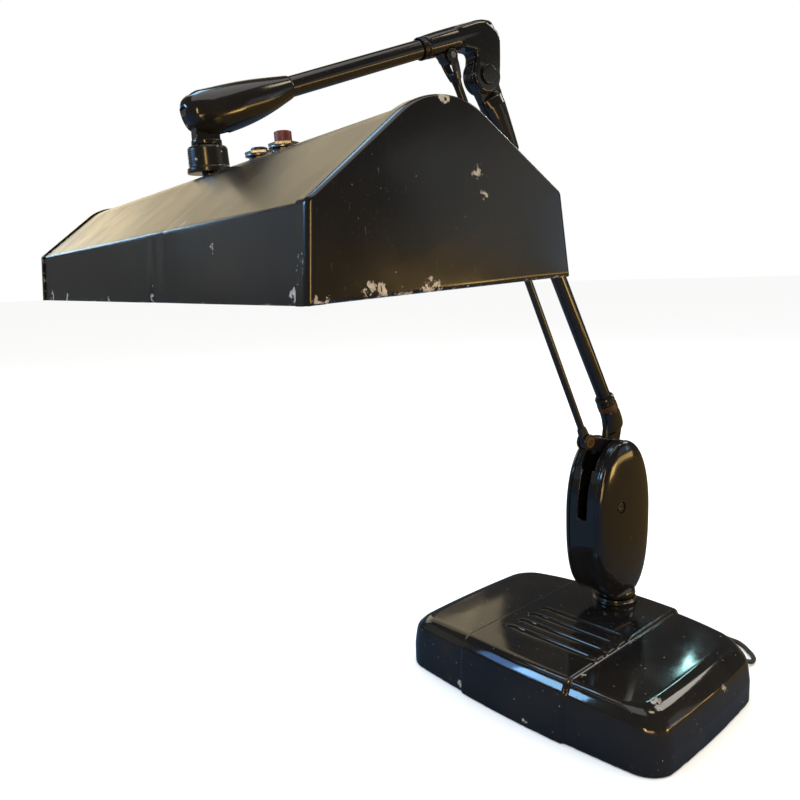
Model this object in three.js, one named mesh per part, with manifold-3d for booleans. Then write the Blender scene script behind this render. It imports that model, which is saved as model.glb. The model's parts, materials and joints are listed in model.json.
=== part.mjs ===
// Floating-arm fluorescent desk lamp: weighted base, swivelling spring housing, parallelogram
// arm, egg-shaped tilt knuckle and a long folded reflector with two tubes. Millimetres, +Z up,
// origin at the centre of the base's underside, X along the base's long side, -Y to its front.
import * as THREE from "three";
import { mergeVertices } from "three/addons/utils/BufferGeometryUtils.js";
import Module from "manifold-3d";

const wasm = await Module();
wasm.setup();

// ---------------------------------------------------------------- driving dimensions
const DEG = Math.PI / 180;
const GAP = 0.3;                    // clearance between neighbouring pieces
const SEG = 14;                     // facets of a round piece

const BASE_L = 277, BASE_D = 178;   // underside, corner to corner lines
const BASE_TOP = 56.5;              // top of the centre panel
const WING_TOP = 53.8, WING_END_TOP = 49.5;
const BOW_FRONT = 9, BOW_BACK = 18, BOW_END = 5;
const CORNER_R = 20, SHEET = 1.6;
const PANEL_HALF = 58, PANEL_OUT = 2.4;
const GROOVE_Y = [6, -12.5, -30.5, -48.5];
const GROOVE_R = 9, GROOVE_DEPTH = 1.1;

const POST = [0, 76];               // swivel axis
const ARM_YAW = -7.7 * DEG;         // arm plane against the base
const HOUSING_R = 12.9;             // housing centre in front of the swivel axis
const HOUSING_Z = 152, HOUSING_A = 38.9;
const HOUSING_UP = 76.8, HOUSING_DOWN = 84;
const HOUSING_TOP_N = 2.15, HOUSING_FOOT_N = 2.7;
const FRAME_HALF = 16, SHELL_HALF = 24.2;
const SLOT_HALF = 8.7, SLOT_LOW_HALF = 5.8;

const TUBE_R = 6.8, TUBE_BORE = 5.4;
const PIVOT = [11, 219];            // lower pivot: forward, up
const ELBOW = [172.9, 549.2];       // elbow pin: forward, up
const LOWER_LEAN = 28.7 * DEG;      // lower tube's lean from vertical
const LINK = [34.6, 10.5];          // crank throw = rod lug offset
const EYE_HALF = 2.9;               // half thickness of the two eyes inside the housing mouth
const ROD_R = 3.4;
const UPPER_UP = 32.3;              // upper tube's axis above the elbow pin
const UPPER_LEAN = (90 + 19.5) * DEG;
const UPPER_REACH = 238.5;          // elbow to tilt pin along the upper tube

const REFL_L = 483, REFL_HALF = 68.8, REFL_LIP = 37.2, REFL_H = 75.7;
const REFL_RIDGE_R = 36.5, REFL_FLARE = 6.35 * DEG;
const REFL_YAW = -7.3 * DEG, REFL_TILT = 3.0 * DEG;
const STEM_LEN = 38.2;              // tilt pin to the ridge's top
const LAMP_R = 12.7, LAMP_L = 451.6, LAMP_Y = 30, LAMP_Z = 22;
const SWITCH_X = [75, 105];         // black, red

const CORD_R = 2.2, CORD_Z = 2.5;
const EXIT = [104.6, 95, 14];       // where the cord leaves the back wall
const COIL_R = 26, COIL_HALF = 11.1, COIL_TOP = 9.3;
const COIL_AT = [-45, 147.5];
const PLUG_HEADING = 210;

// ---------------------------------------------------------------- materials
const paint = (color, rough, metal) =>
  new THREE.MeshStandardMaterial({ color, roughness: rough, metalness: metal });
const ENAMEL = paint(0x0d0d0f, 0.25, 0.3);
const WHITE = paint(0xe8e6de, 0.5, 0.1);
const STEEL = paint(0x8f9194, 0.35, 0.9);
const CHROME = paint(0xc8cacc, 0.15, 1.0);
const IRON = paint(0x3a3a3c, 0.8, 0.5);
const BROWN = paint(0x5a3a24, 0.6, 0.6);
const RUBBER = paint(0x101010, 0.8, 0.0);
const GLASS = paint(0xf2f4f2, 0.2, 0.0);
const RED = paint(0x7c1f18, 0.4, 0.0);
const BLACK = paint(0x121212, 0.4, 0.0);
const FELT = paint(0x24382b, 0.95, 0.0);
const BAKELITE = paint(0x1c1614, 0.45, 0.0);

// ---------------------------------------------------------------- solids
const V = (x, y, z) => new THREE.Vector3(x, y, z);

function solid(geometry) {
  const g0 = geometry.clone();
  g0.deleteAttribute("normal");
  if (g0.attributes.uv) g0.deleteAttribute("uv");
  const g = mergeVertices(g0, 1e-4);
  const build = (tri) => new wasm.Manifold(new wasm.Mesh({
    numProp: 3,
    vertProperties: new Float32Array(g.attributes.position.array),
    triVerts: tri,
  }));
  const tri = new Uint32Array(g.index.array);
  const m = build(tri);
  if (m.volume() > 0) return m;
  for (let i = 0; i < tri.length; i += 3) [tri[i], tri[i + 1]] = [tri[i + 1], tri[i]];
  return build(tri);
}
const union = (...list) => list.reduce((a, b) => a.add(b));

function toGeometry(m) {
  const mesh = m.getMesh();
  const g = new THREE.BufferGeometry();
  g.setAttribute("position", new THREE.BufferAttribute(new Float32Array(mesh.vertProperties), 3));
  g.setIndex(new THREE.BufferAttribute(new Uint32Array(mesh.triVerts), 1));
  g.computeVertexNormals();
  return g;
}

// Round bar along Z or X, box by its limits, plate drawn in the YZ plane, turned piece about Z.
const barZ = (r1, r0, z0, z1, seg = SEG) => solid(
  new THREE.CylinderGeometry(r1, r0, z1 - z0, seg).rotateX(Math.PI / 2)
    .translate(0, 0, (z0 + z1) / 2));
const barX = (r, x0, x1, y = 0, z = 0, seg = SEG) => solid(
  new THREE.CylinderGeometry(r, r, x1 - x0, seg).rotateZ(-Math.PI / 2)
    .translate((x0 + x1) / 2, y, z));
const block = (x0, x1, y0, y1, z0, z1) => solid(
  new THREE.BoxGeometry(x1 - x0, y1 - y0, z1 - z0)
    .translate((x0 + x1) / 2, (y0 + y1) / 2, (z0 + z1) / 2));
function plate(outline, x0, x1) {
  const shape = new THREE.Shape(outline.map(([y, z]) => new THREE.Vector2(y, z)));
  const g = new THREE.ExtrudeGeometry(shape, { depth: x1 - x0, bevelEnabled: false });
  g.applyMatrix4(new THREE.Matrix4().makeBasis(V(0, 1, 0), V(0, 0, 1), V(1, 0, 0)));
  return solid(g.translate(x0, 0, 0));
}
const turned = (profile, seg = SEG) => solid(new THREE.LatheGeometry(
  profile.map(([r, z]) => new THREE.Vector2(r, z)), seg).rotateX(Math.PI / 2));
const pipeZ = (r, bore, z0, z1, seg = SEG) =>
  turned([[bore, z0], [r, z0], [r, z1], [bore, z1], [bore, z0]], seg);

// Skin over rings of equal count, closed at both ends on the rings' own middles.
function loft(rings) {
  const n = rings[0].length, pos = [], tri = [];
  for (const ring of rings) for (const p of ring) pos.push(p.x, p.y, p.z);
  for (let k = 0; k + 1 < rings.length; k++) {
    for (let i = 0; i < n; i++) {
      const a = k * n + i, b = k * n + (i + 1) % n;
      tri.push(a, b, b + n, a, b + n, a + n);
    }
  }
  for (const [k, flip] of [[0, true], [rings.length - 1, false]]) {
    const mid = rings[k].reduce((s, p) => s.add(p), V(0, 0, 0)).divideScalar(n);
    const c = pos.length / 3;
    pos.push(mid.x, mid.y, mid.z);
    for (let i = 0; i < n; i++) {
      const a = k * n + i, b = k * n + (i + 1) % n;
      tri.push(...(flip ? [c, b, a] : [c, a, b]));
    }
  }
  const g = new THREE.BufferGeometry();
  g.setAttribute("position", new THREE.Float32BufferAttribute(pos, 3));
  g.setIndex(tri);
  return solid(g);
}
const ellipse = (rx, ry, z, n = SEG, cx = 0, cy = 0) => Array.from({ length: n }, (_, i) => {
  const t = 2 * Math.PI * i / n;
  return V(cx + rx * Math.cos(t), cy + ry * Math.sin(t), z);
});

// ---------------------------------------------------------------- frames
// Arm frame: x to the side, y to the back, z up, on the swivel axis.
const ARM = new THREE.Matrix4().makeRotationZ(ARM_YAW).setPosition(POST[0], POST[1], 0);
const leaning = (r, z, a) => ARM.clone().multiply(new THREE.Matrix4().makeBasis(
  V(1, 0, 0), V(0, Math.cos(a), Math.sin(a)), V(0, -Math.sin(a), Math.cos(a))).setPosition(0, -r, z));
// Lower arm: z runs up the tube and ends at the elbow. Upper arm: z runs out to the knuckle.
const LOWER = leaning(ELBOW[0], ELBOW[1], LOWER_LEAN);
const upR = ELBOW[0] - UPPER_UP * Math.cos(UPPER_LEAN);
const upZ = ELBOW[1] + UPPER_UP * Math.sin(UPPER_LEAN);
const UPPER = leaning(upR, upZ, UPPER_LEAN);
const KNUCKLE = V(0, 0, UPPER_REACH).applyMatrix4(UPPER);
// Head: x along the reflector, y to its back, z along the stem, on the tilt pin.
const HEAD = new THREE.Matrix4().makeRotationZ(REFL_YAW)
  .multiply(new THREE.Matrix4().makeRotationX(REFL_TILT)).setPosition(KNUCKLE);
const REFL = HEAD.clone().multiply(new THREE.Matrix4().makeTranslation(0, 0, -(STEM_LEN + REFL_H)));
const WORLD = new THREE.Matrix4();

const lamp = new THREE.Group();
lamp.name = "floating_arm_desk_lamp";
function add(name, m, material, frame = WORLD) {
  const mesh = new THREE.Mesh(toGeometry(m).applyMatrix4(frame), material);
  mesh.name = name;
  lamp.add(mesh);
}

// ---------------------------------------------------------------- base
// Outline of the base at a given inset: front and back rows with the same x stations.
function baseOutline(inset, halfX = BASE_L / 2, out = 0, round = CORNER_R) {
  const a = halfX - inset, rc = Math.max(round - inset * 0.4, 2), b = BASE_D / 2 - inset + out;
  const bow = (x, k) => k * (1 - Math.min(1, (x / (BASE_L / 2)) ** 2));
  const low = [], high = [];
  const push = (x, drop) => {
    low.push([x, -(b - drop) - bow(x, BOW_FRONT)]);
    high.push([x, b - drop + bow(x, BOW_BACK)]);
  };
  const corner = (i, side) => {
    const t = i * 22.5 * DEG;
    push(side * (a - rc + rc * Math.sin(t)), rc * (1 - Math.cos(t)));
  };
  for (let i = 4; i >= 1; i--) corner(i, -1);
  for (let i = 0; i <= 6; i++) push((-1 + i / 3) * (a - rc), 0);
  for (let i = 1; i <= 4; i++) corner(i, 1);
  return { low, high, a };
}
function baseRing(inset, z, opt = {}) {
  const { low, high, a } = baseOutline(inset, opt.halfX, opt.out, opt.round);
  const endBow = opt.halfX ? 0 : BOW_END;
  const height = (x) => typeof z === "function" ? z(x) : z;
  const bend = (p) => V(p[0] + Math.sign(p[0]) * endBow * Math.max(0, (Math.abs(p[0]) / a) ** 8)
    * (1 - (p[1] / (BASE_D / 2 + BOW_BACK)) ** 2), p[1], height(p[0]));
  const n = low.length, yE = low[n - 1][1], yH = high[n - 1][1];
  const mids = (s) => [0.25, 0.5, 0.75].map((f) => [s * a, yE + (yH - yE) * f]);
  return { n, ring: [...low, ...mids(1), ...high.slice().reverse(), ...mids(-1).reverse()].map(bend) };
}
// Like loft, but the top is closed front to back at each x station, so it keeps its slopes.
function baseLoft(levels) {
  const rings = levels.map((l) => baseRing(...l));
  const n = rings[0].n, count = rings[0].ring.length, pos = [], tri = [];
  for (const { ring } of rings) for (const p of ring) pos.push(p.x, p.y, p.z);
  for (let k = 0; k + 1 < rings.length; k++) {
    for (let i = 0; i < count; i++) {
      const a = k * count + i, b = k * count + (i + 1) % count;
      tri.push(a, b, b + count, a, b + count, a + count);
    }
  }
  for (const [k, flip] of [[0, true], [rings.length - 1, false]]) {
    const o = k * count, lo = (j) => o + j, hi = (j) => o + n + 3 + (n - 1 - j);
    const face = (...v) => tri.push(...(flip ? v.reverse() : v));
    for (let j = 0; j + 1 < n; j++) {
      face(lo(j), lo(j + 1), hi(j + 1));
      face(lo(j), hi(j + 1), hi(j));
    }
    face(lo(n - 1), o + n, o + n + 1);
    face(lo(n - 1), o + n + 1, o + n + 2);
    face(lo(n - 1), o + n + 2, hi(n - 1));
    face(hi(0), o + 2 * n + 3, o + 2 * n + 4);
    face(hi(0), o + 2 * n + 4, o + 2 * n + 5);
    face(hi(0), o + 2 * n + 5, lo(0));
  }
  const g = new THREE.BufferGeometry();
  g.setAttribute("position", new THREE.Float32BufferAttribute(pos, 3));
  g.setIndex(tri);
  return solid(g);
}
const wingTop = (drop) => (x) => {
  const f = Math.min(1, Math.max(0, (Math.abs(x) - PANEL_HALF) / (BASE_L / 2 - PANEL_HALF)));
  return WING_TOP - drop - (WING_TOP - WING_END_TOP) * f * f;
};
const COVER_Z = 0.4;
const everySecond = (levels, coarse) => levels.filter((_, i) => !coarse || i % 2 === 0);
const coverBody = (grow, floor, coarse) => baseLoft(everySecond([
  [grow, floor], [3.6 + grow, wingTop(9 + grow)], [5 + grow, wingTop(3.6 + grow)],
  [7.4 + grow, wingTop(1.1 + grow)], [11 + grow, wingTop(grow)]], coarse));
const panelBody = (grow, floor, coarse) => {
  const opt = { halfX: PANEL_HALF - grow, out: PANEL_OUT, round: 4 };
  return baseLoft(everySecond([
    [grow, floor, { ...opt, halfX: opt.halfX + grow, out: PANEL_OUT }],
    [3.6 + grow, BASE_TOP - 9 - grow, { ...opt, halfX: opt.halfX + 3.6 + grow }],
    [5.2 + grow, BASE_TOP - 3.4 - grow, { ...opt, halfX: opt.halfX + 5.2 + grow }],
    [8 + grow, BASE_TOP - 0.8 - grow, { ...opt, halfX: opt.halfX + 7.6 + grow }],
    [11 + grow, BASE_TOP - grow, { ...opt, halfX: opt.halfX + 9.8 + grow }]], coarse));
};
let cover = coverBody(0, COVER_Z).add(panelBody(0, COVER_Z))
  .subtract(coverBody(SHEET, -5, true).add(panelBody(SHEET, -5, true)));
for (const y of GROOVE_Y) {
  const flute = barX(GROOVE_R, -PANEL_HALF + 6, PANEL_HALF + 1, y, BASE_TOP + GROOVE_R - GROOVE_DEPTH, 24);
  cover = cover.subtract(flute);
}
cover = cover.subtract(barZ(7.2, 7.2, 40, 70).translate(POST[0], POST[1], 0))
  .subtract(solid(new THREE.CylinderGeometry(6.9, 6.9, 30, 16)).translate(EXIT[0], 92, EXIT[2]));
add("base_cover", cover, ENAMEL);

const inside = (inset, z0, z1) => baseLoft([[inset, z0], [inset, z1]]);
const SCREW_AT = [[-112, -68], [112, -68], [-112, 72], [84, 74]];
const WEIGHT_END = 62;              // the iron stops here, to leave room for the ballast
const atPost = (m) => m.translate(POST[0], POST[1], 0);
const drilled = (m, r, top) => SCREW_AT.reduce(
  (rest, [x, y]) => rest.subtract(barZ(r, r, -1, top, 12).translate(x, y, 0)), m);
add("base_felt", drilled(inside(4, 0, 2), 5.5, 5), FELT);
add("base_pan", drilled(inside(3.4, 2.3, 3.8), 2.4, 9), STEEL);
const ironBlock = inside(8.5, 4.1, 27).intersect(block(-140, WEIGHT_END, -120, 120, 0, 60))
  .subtract(atPost(barZ(7.2, 7.2, -1, 60)))
  .subtract(atPost(barZ(13, 13, -1, 16.6)));
add("base_weight", drilled(ironBlock, 2.4, 16), IRON);
SCREW_AT.forEach(([x, y], i) => {
  const tip = x < WEIGHT_END ? 14 : 8;
  const screw = turned([[0, 0.5], [4.6, 0.5], [5, 1.2], [5, 2], [2.1, 2], [2.1, tip], [0, tip]], 12);
  add(`base_screw_${i + 1}`, screw.translate(x, y, 0), STEEL);
});
add("ballast", block(70, 112, -46, 52, 4.1, 34).add(block(75, 107, -30, 36, 33, 40)), IRON);

add("swivel_post", atPost(pipeZ(6.6, 4.8, 12, 84)), STEEL);
const postNut = solid(new THREE.CylinderGeometry(12, 12, 7, 6).rotateX(Math.PI / 2));
add("swivel_nut", atPost(postNut.subtract(barZ(6.9, 6.9, -9, 9)).translate(0, 0, 12.8)), STEEL);
const collar = turned([[7, 56.8], [22.2, 56.8], [22.2, 59.5], [20.4, 62], [7, 62], [7, 56.8]], 20);
add("swivel_collar", atPost(collar), ENAMEL);

// Cord: out of the back through a tapered strain relief, down to the table, to a tied coil and plug.
const gland = turned([[2.6, 0], [8.5, 0], [8.5, 2.4], [6.2, 2.7], [3.6, 26], [2.6, 26], [2.6, 0]], 16);
add("cord_gland", gland.rotate([-90, 0, 0]).translate(EXIT[0], EXIT[1] - 8, EXIT[2]), RUBBER);
const route = new THREE.CatmullRomCurve3([
  [104.6, 89, 14], [104.6, 101, 14], [104.6, 114.5, 14], [105.8, 121.3, 12.3], [109.9, 128, 9],
  [114, 134.8, 5.4], [115.2, 141.6, 3.1], [113.5, 149.7, CORD_Z], [108.8, 156.3, CORD_Z],
  [102.8, 161.8, CORD_Z], [96.8, 167.3, CORD_Z], [89.4, 171.8, CORD_Z], [83.5, 173, CORD_Z],
  [48, 175.6, CORD_Z], [12, 178.2, CORD_Z], [-24.1, 180.9, CORD_Z],
].map((p) => V(...p)), false, "centripetal");
function cordTube(curve, steps) {
  const circle = new THREE.Shape(Array.from({ length: 8 }, (_, i) =>
    new THREE.Vector2(CORD_R * Math.cos(i * Math.PI / 4), CORD_R * Math.sin(i * Math.PI / 4))));
  return solid(new THREE.ExtrudeGeometry(circle, { steps, extrudePath: curve, bevelEnabled: false }));
}
add("cord", cordTube(route, 34), RUBBER);
const coilIn = COIL_R - COIL_HALF, coilOut = COIL_R + COIL_HALF;
add("cord_coil", turned([[coilIn + 1, 0.4], [coilOut - 1, 0.4], [coilOut, 2.8], [coilOut, COIL_TOP - 2.6],
  [coilOut - 1.4, COIL_TOP], [coilIn + 1.4, COIL_TOP], [coilIn, COIL_TOP - 2.6], [coilIn, 2.8],
  [coilIn + 1, 0.4]], 22).translate(...COIL_AT, 0), RUBBER);
const plugLeaves = (PLUG_HEADING - 90) * DEG, outerTurn = COIL_R + 4 * CORD_R, plugOff = 22;
const plugAt = [
  COIL_AT[0] + outerTurn * Math.cos(plugLeaves) - plugOff * Math.sin(plugLeaves),
  COIL_AT[1] + outerTurn * Math.sin(plugLeaves) + plugOff * Math.cos(plugLeaves)];
const plugBody = loft([
  ellipse(4, 4, 0), ellipse(6, 5.4, 4), ellipse(7.5, 6.2, 12), ellipse(12.5, 8.6, 17),
  ellipse(13, 9, 29), ellipse(12, 8.2, 31)]);
const blade = (x) => block(x - 0.8, x + 0.8, -3.2, 3.2, 30, 47);
const PLUG_Z = 9.4;
const plug = union(plugBody, blade(-6.3), blade(6.3)).rotate([90, 0, 0]).rotate([0, 0, PLUG_HEADING - 270]);
add("cord_plug", plug.translate(...plugAt, PLUG_Z), BAKELITE);

// ---------------------------------------------------------------- spring housing
const BOLT = [24, 165];
function oval(inset, x, n = 22) {
  return Array.from({ length: n }, (_, i) => {
    const t = 2 * Math.PI * i / n, c = Math.cos(t), s = Math.sin(t);
    const b = (s > 0 ? HOUSING_UP : HOUSING_DOWN) - inset, e = 2 / (s > 0 ? HOUSING_TOP_N : HOUSING_FOOT_N);
    return V(x, -HOUSING_R + (HOUSING_A - inset) * Math.sign(c) * Math.abs(c) ** e,
      HOUSING_Z + b * Math.sign(s) * Math.abs(s) ** e);
  });
}
const slotCut = union(
  block(-SLOT_LOW_HALF, SLOT_LOW_HALF, -HOUSING_R - 60, -HOUSING_R - 20, 152, 210),
  block(-SLOT_HALF, SLOT_HALF, -HOUSING_R - 60, -HOUSING_R + 60, 200, 250));
const neck = turned([
  [6.9, 62.4], [19, 62.4], [20.6, 66], [19.6, 70], [15.8, 73.6], [12, 86], [6.9, 86], [6.9, 62.4]], 20);
const ring = loft([oval(0.5, -FRAME_HALF), oval(0.5, FRAME_HALF)])
  .subtract(loft([oval(3.6, -FRAME_HALF - 1), oval(3.6, FRAME_HALF + 1)]));
const hollow = loft([oval(3.6, -FRAME_HALF - 20), oval(3.6, FRAME_HALF + 20)])
  .subtract(block(-60, 60, -60, 60, 0, 76));
const frame = ring.add(neck.subtract(hollow)).subtract(slotCut).subtract(barZ(6.9, 6.9, 50, 90));
add("housing_frame", frame, ENAMEL, ARM);
const PIN_R = 4.1, BOLT_BORE = 2.9, BOLT_SINK = 5.4;
function shell(side) {
  const s = (x) => side * x, at = FRAME_HALF + GAP;
  const from = (x) => side > 0 ? [x, 40] : [-40, -x];
  const outer = loft([oval(0, s(at)), oval(1, s(20.4)), oval(3.6, s(22.6)), oval(9.5, s(SHELL_HALF))]);
  const inner = loft([oval(1.8, s(at - 1)), oval(3, s(19.4)), oval(7, s(21.6))]);
  const ends = side > 0 ? [at + 0.2, 22.8] : [-22.8, -at - 0.2];
  const boss = union(barX(8, ...ends, -PIVOT[0], PIVOT[1], 16), barX(6, ...ends, -BOLT[0], BOLT[1], 16));
  return outer.subtract(inner).add(boss.intersect(outer))
    .subtract(barX(PIN_R, -21.8, 21.8, -PIVOT[0], PIVOT[1], 16))
    .subtract(barX(BOLT_BORE, -40, 40, -BOLT[0], BOLT[1], 12))
    .subtract(barX(BOLT_SINK, ...from(22.6), -BOLT[0], BOLT[1], 16))
    .subtract(barZ(23, 23, 50, 80, 24).intersect(block(-40, 40, -40, 40, 50, 74)));
}
add("housing_shell_right", shell(1), ENAMEL, ARM);
add("housing_shell_left", shell(-1), ENAMEL, ARM);
add("housing_bolt", union(barX(2.6, -24, 24, 0, 0, 12), barX(5, 22.9, 25.4, 0, 0, 16))
  .translate(0, -BOLT[0], BOLT[1]), STEEL, ARM);
add("housing_bolt_nut", solid(new THREE.CylinderGeometry(4.9, 4.9, 2.4, 6).rotateZ(Math.PI / 2))
  .subtract(barX(2.9, -5, 5, 0, 0, 12)).translate(-24.3, -BOLT[0], BOLT[1]), STEEL, ARM);
add("pivot_pin", barX(4, -21.5, 21.5, -PIVOT[0], PIVOT[1], 16), STEEL, ARM);
const ANCHOR = [2, 98];
add("spring_anchor", barX(2.5, -FRAME_HALF - 4, FRAME_HALF + 4, -ANCHOR[0], ANCHOR[1], 12)
  .intersect(loft([oval(4, -22), oval(4, 22)])), STEEL, ARM);

// Coil spring between two points of the arm plane.
function spring(a, b, turns, coilR, wireR) {
  const from = V(a[2], -a[0], a[1]), to = V(b[2], -b[0], b[1]);
  const axis = to.clone().sub(from), len = axis.length();
  class Helix extends THREE.Curve {
    getPoint(t, target = V(0, 0, 0)) {
      const w = 2 * Math.PI * turns * t;
      return target.set(coilR * Math.cos(w), coilR * Math.sin(w), len * t);
    }
  }
  const wire = new THREE.Shape(Array.from({ length: 4 }, (_, i) =>
    new THREE.Vector2(wireR * Math.cos(i * Math.PI / 2), wireR * Math.sin(i * Math.PI / 2))));
  const along = { steps: turns * 5, extrudePath: new Helix(), bevelEnabled: false };
  const g = new THREE.ExtrudeGeometry(wire, along);
  const turn = new THREE.Quaternion().setFromUnitVectors(V(0, 0, 1), axis.normalize());
  return solid(g.applyQuaternion(turn).translate(from.x, from.y, from.z));
}
add("spring_lower", spring([4, 104, 0], [6, 188, 0], 10, 4.4, 0.9), STEEL, ARM);
add("spring_upper", spring([-9, 104, 0], [-10, 196, 0], 10, 4.4, 0.9), STEEL, ARM);

// ---------------------------------------------------------------- lower arm
// Hull-like bar between two points of a YZ plane with a rounded width.
function web(p, q, w0, w1, x0, x1) {
  const d = [q[0] - p[0], q[1] - p[1]], l = Math.hypot(...d), nx = -d[1] / l, ny = d[0] / l;
  return plate([[p[0] + nx * w0, p[1] + ny * w0], [p[0] - nx * w0, p[1] - ny * w0],
    [q[0] - nx * w1, q[1] - ny * w1], [q[0] + nx * w1, q[1] + ny * w1]], x0, x1);
}
const pivotLow = V(0, -PIVOT[0], PIVOT[1]).applyMatrix4(ARM).applyMatrix4(LOWER.clone().invert());
const oy = pivotLow.y, oz = pivotLow.z;     // lower pivot seen from the lower arm's frame
const TAIL_TIP = [oy - 9.6, oz - 10.9];
const knuckleNeck = loft([
  ellipse(8.3, 12.6, oz + 14, SEG, 0, -3), ellipse(8.3, 12.2, oz + 20, SEG, 0, -1.5),
  ellipse(8.3, 10.6, oz + 28, SEG, 0, 0), ellipse(9, 9.2, oz + 35, SEG, 0, 0)]);
const knuckleEye = union(barX(11, -EYE_HALF, EYE_HALF, oy, oz),
  web([oy, oz], [-2, oz + 18], 10.5, 11.5, -EYE_HALF, EYE_HALF),
  web([oy, oz], TAIL_TIP, 7, 4, -EYE_HALF, EYE_HALF));
add("lower_knuckle", union(knuckleNeck, knuckleEye)
  .subtract(barX(4.1, -9, 9, oy, oz, 16))
  .subtract(barZ(7.1, 7.1, oz + 27, oz + 60)), ENAMEL, LOWER);
add("friction_ring", pipeZ(9.6, 7.1, oz + 35.3, oz + 42), BROWN, LOWER);
add("jam_ring", turned([[7.1, 42.3], [9.3, 42.3], [9.3, 49], [8, 51], [7.1, 51], [7.1, 42.3]])
  .translate(0, 0, oz), ENAMEL, LOWER);
add("lower_tube", pipeZ(TUBE_R, TUBE_BORE, oz + 27.3, -36), ENAMEL, LOWER);
const elbowCone = loft([ellipse(7.9, 7.9, -64), ellipse(8.6, 8.8, -52), ellipse(9.6, 10.2, -34),
  ellipse(9.4, 11.4, -24), ellipse(8.3, 12, -17.5), ellipse(5, 9, -15.2)]);
const elbowEye = union(barX(13.6, -3.9, 3.9, 0, 0, 24), web([0, 0], [0, -20], 12.4, 11, -3.9, 3.9));
add("elbow_knuckle", elbowCone.add(elbowEye)
  .subtract(barX(PIN_R, -9, 9, 0, 0, 16)).subtract(barZ(7.1, 7.1, -70, -35.7)), ENAMEL, LOWER);

// ---------------------------------------------------------------- crank and control rod
const CRANK = leaning(PIVOT[0], PIVOT[1], 0);       // x side, y back, z up, on the lower pivot
const by = -LINK[0], bz = LINK[1];
const CHEEK = [EYE_HALF + GAP, 5.4];
const cheek = (s) => {
  const [x0, x1] = s > 0 ? CHEEK : [-CHEEK[1], -CHEEK[0]];
  return union(
    barX(9, x0, x1, 0, 0), barX(8, x0, x1, by, bz),
    web([0, 0], [by, bz], 8, 6.5, x0, x1), web([0, 0], [19, -5.6], 8, 5, x0, x1));
};
const crankBridge = plate([[15.6, -9.8], [21.2, -10.4], [21.2, -0.8], [15.6, -0.5]], -CHEEK[1], CHEEK[1]);
add("crank", union(cheek(1), cheek(-1), crankBridge)
  .subtract(barX(4.1, -9, 9, 0, 0, 16)).subtract(barX(2.9, -9, 9, by, bz, 12)), BROWN, CRANK);
add("crank_pin", barX(2.8, -5.5, 5.5, by, bz, 12), STEEL, CRANK);
// The rod's own frame: z runs up it, from the crank pin to the lug pin.
const linkLean = Math.atan2(ELBOW[0] - PIVOT[0], ELBOW[1] - PIVOT[1]);
const ROD_L = Math.hypot(ELBOW[0] - PIVOT[0], ELBOW[1] - PIVOT[1]);
const ROD = leaning(PIVOT[0] + LINK[0], PIVOT[1] + LINK[1], linkLean);
const prong = (s) => {
  const x0 = s > 0 ? 4.2 : -6.8, x1 = s > 0 ? 6.8 : -4.2;
  return union(barX(5.2, x0, x1, 0, ROD_L), web([0, ROD_L], [0, ROD_L - 16], 5.2, 3.6, x0, x1));
};
const forkRoot = loft([
  ellipse(6.8, 3.6, ROD_L - 12.5), ellipse(6.8, 3.8, ROD_L - 16), ellipse(4.4, 3.6, ROD_L - 22),
  ellipse(ROD_R, ROD_R, ROD_L - 28)]);
const rod = union(
  barX(6.6, -EYE_HALF, EYE_HALF, 0, 0, 16), web([0, 0], [0, 16], 5.4, 3.6, -EYE_HALF, EYE_HALF),
  barZ(ROD_R, ROD_R, 12, ROD_L - 24, 12), forkRoot, prong(1), prong(-1));
add("control_rod", rod.subtract(barX(2.9, -9, 9, 0, 0, 12)).subtract(barX(2.6, -9, 9, 0, ROD_L, 12)),
  ENAMEL, ROD);

// ---------------------------------------------------------------- upper arm
// Boot casting drawn in the elbow's own upright frame: x side, y back, z up.
const ELBOW_UP = leaning(ELBOW[0], ELBOW[1], 0);
const sinU = Math.sin(UPPER_LEAN), cosU = Math.cos(UPPER_LEAN);
// A point at distance s out along the upper tube and u above its axis, in the upright frame.
const onUpper = (s, u) => [-(s * sinU - (u + UPPER_UP) * cosU), s * cosU + (u + UPPER_UP) * sinU];
const bootSide = [
  onUpper(20, 8.2), onUpper(-4, 8.6), onUpper(-12, 7.6), [6.6, 37.6], [12.2, 34.4], [14.6, 30],
  [14.4, 16], [14, 0], [-12.3, 5], [-11.5, 12], [-13, 17], onUpper(20, -8)];
const bootCut = barX(14.2, -3.9 - GAP, 3.9 + GAP, 0, 0, 24)
  .add(block(-3.9 - GAP, 3.9 + GAP, -15, 20, -20, 0))
  .add(block(-3.9 - GAP, 3.9 + GAP, 6, 20, -20, 13));
const bar = loft([
  ellipse(8.6, 8.6, 49.5), ellipse(8.6, 8.8, 36), ellipse(8.6, 9, 10), ellipse(8.5, 8.4, -14),
  ellipse(7, 6.8, -20)]);
const upperToUp = ELBOW_UP.clone().invert().multiply(UPPER);
const moved = (m, matrix) => solid(toGeometry(m).applyMatrix4(matrix));
const lug = union(barX(6.4, -3.9, 3.9, by, bz, 16), web([by, bz], onUpper(34, -2), 6.4, 7, -3.9, 3.9));
const boreUpper = moved(barZ(7.1, 7.1, 20, 80), upperToUp);
const slack = barX(5.9, 3.9, 7.2, by, bz).add(barX(5.9, -7.2, -3.9, by, bz));
const boot = union(plate(bootSide, -8.3, 8.3), barX(14, -8.3, 8.3, 0, 0, 24), moved(bar, upperToUp))
  .subtract(bootCut).subtract(slack).add(lug)
  .subtract(barX(PIN_R, -9, 9, 0, 0, 16)).subtract(barX(2.6, -9, 9, by, bz, 12)).subtract(boreUpper);
add("elbow_boot", boot, ENAMEL, ELBOW_UP);
add("elbow_pin", union(barX(4, -8.2, 9, 0, 0, 16), barX(7.5, 8.6, 10.4, 0, 0, 20)), ENAMEL, ELBOW_UP);
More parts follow.
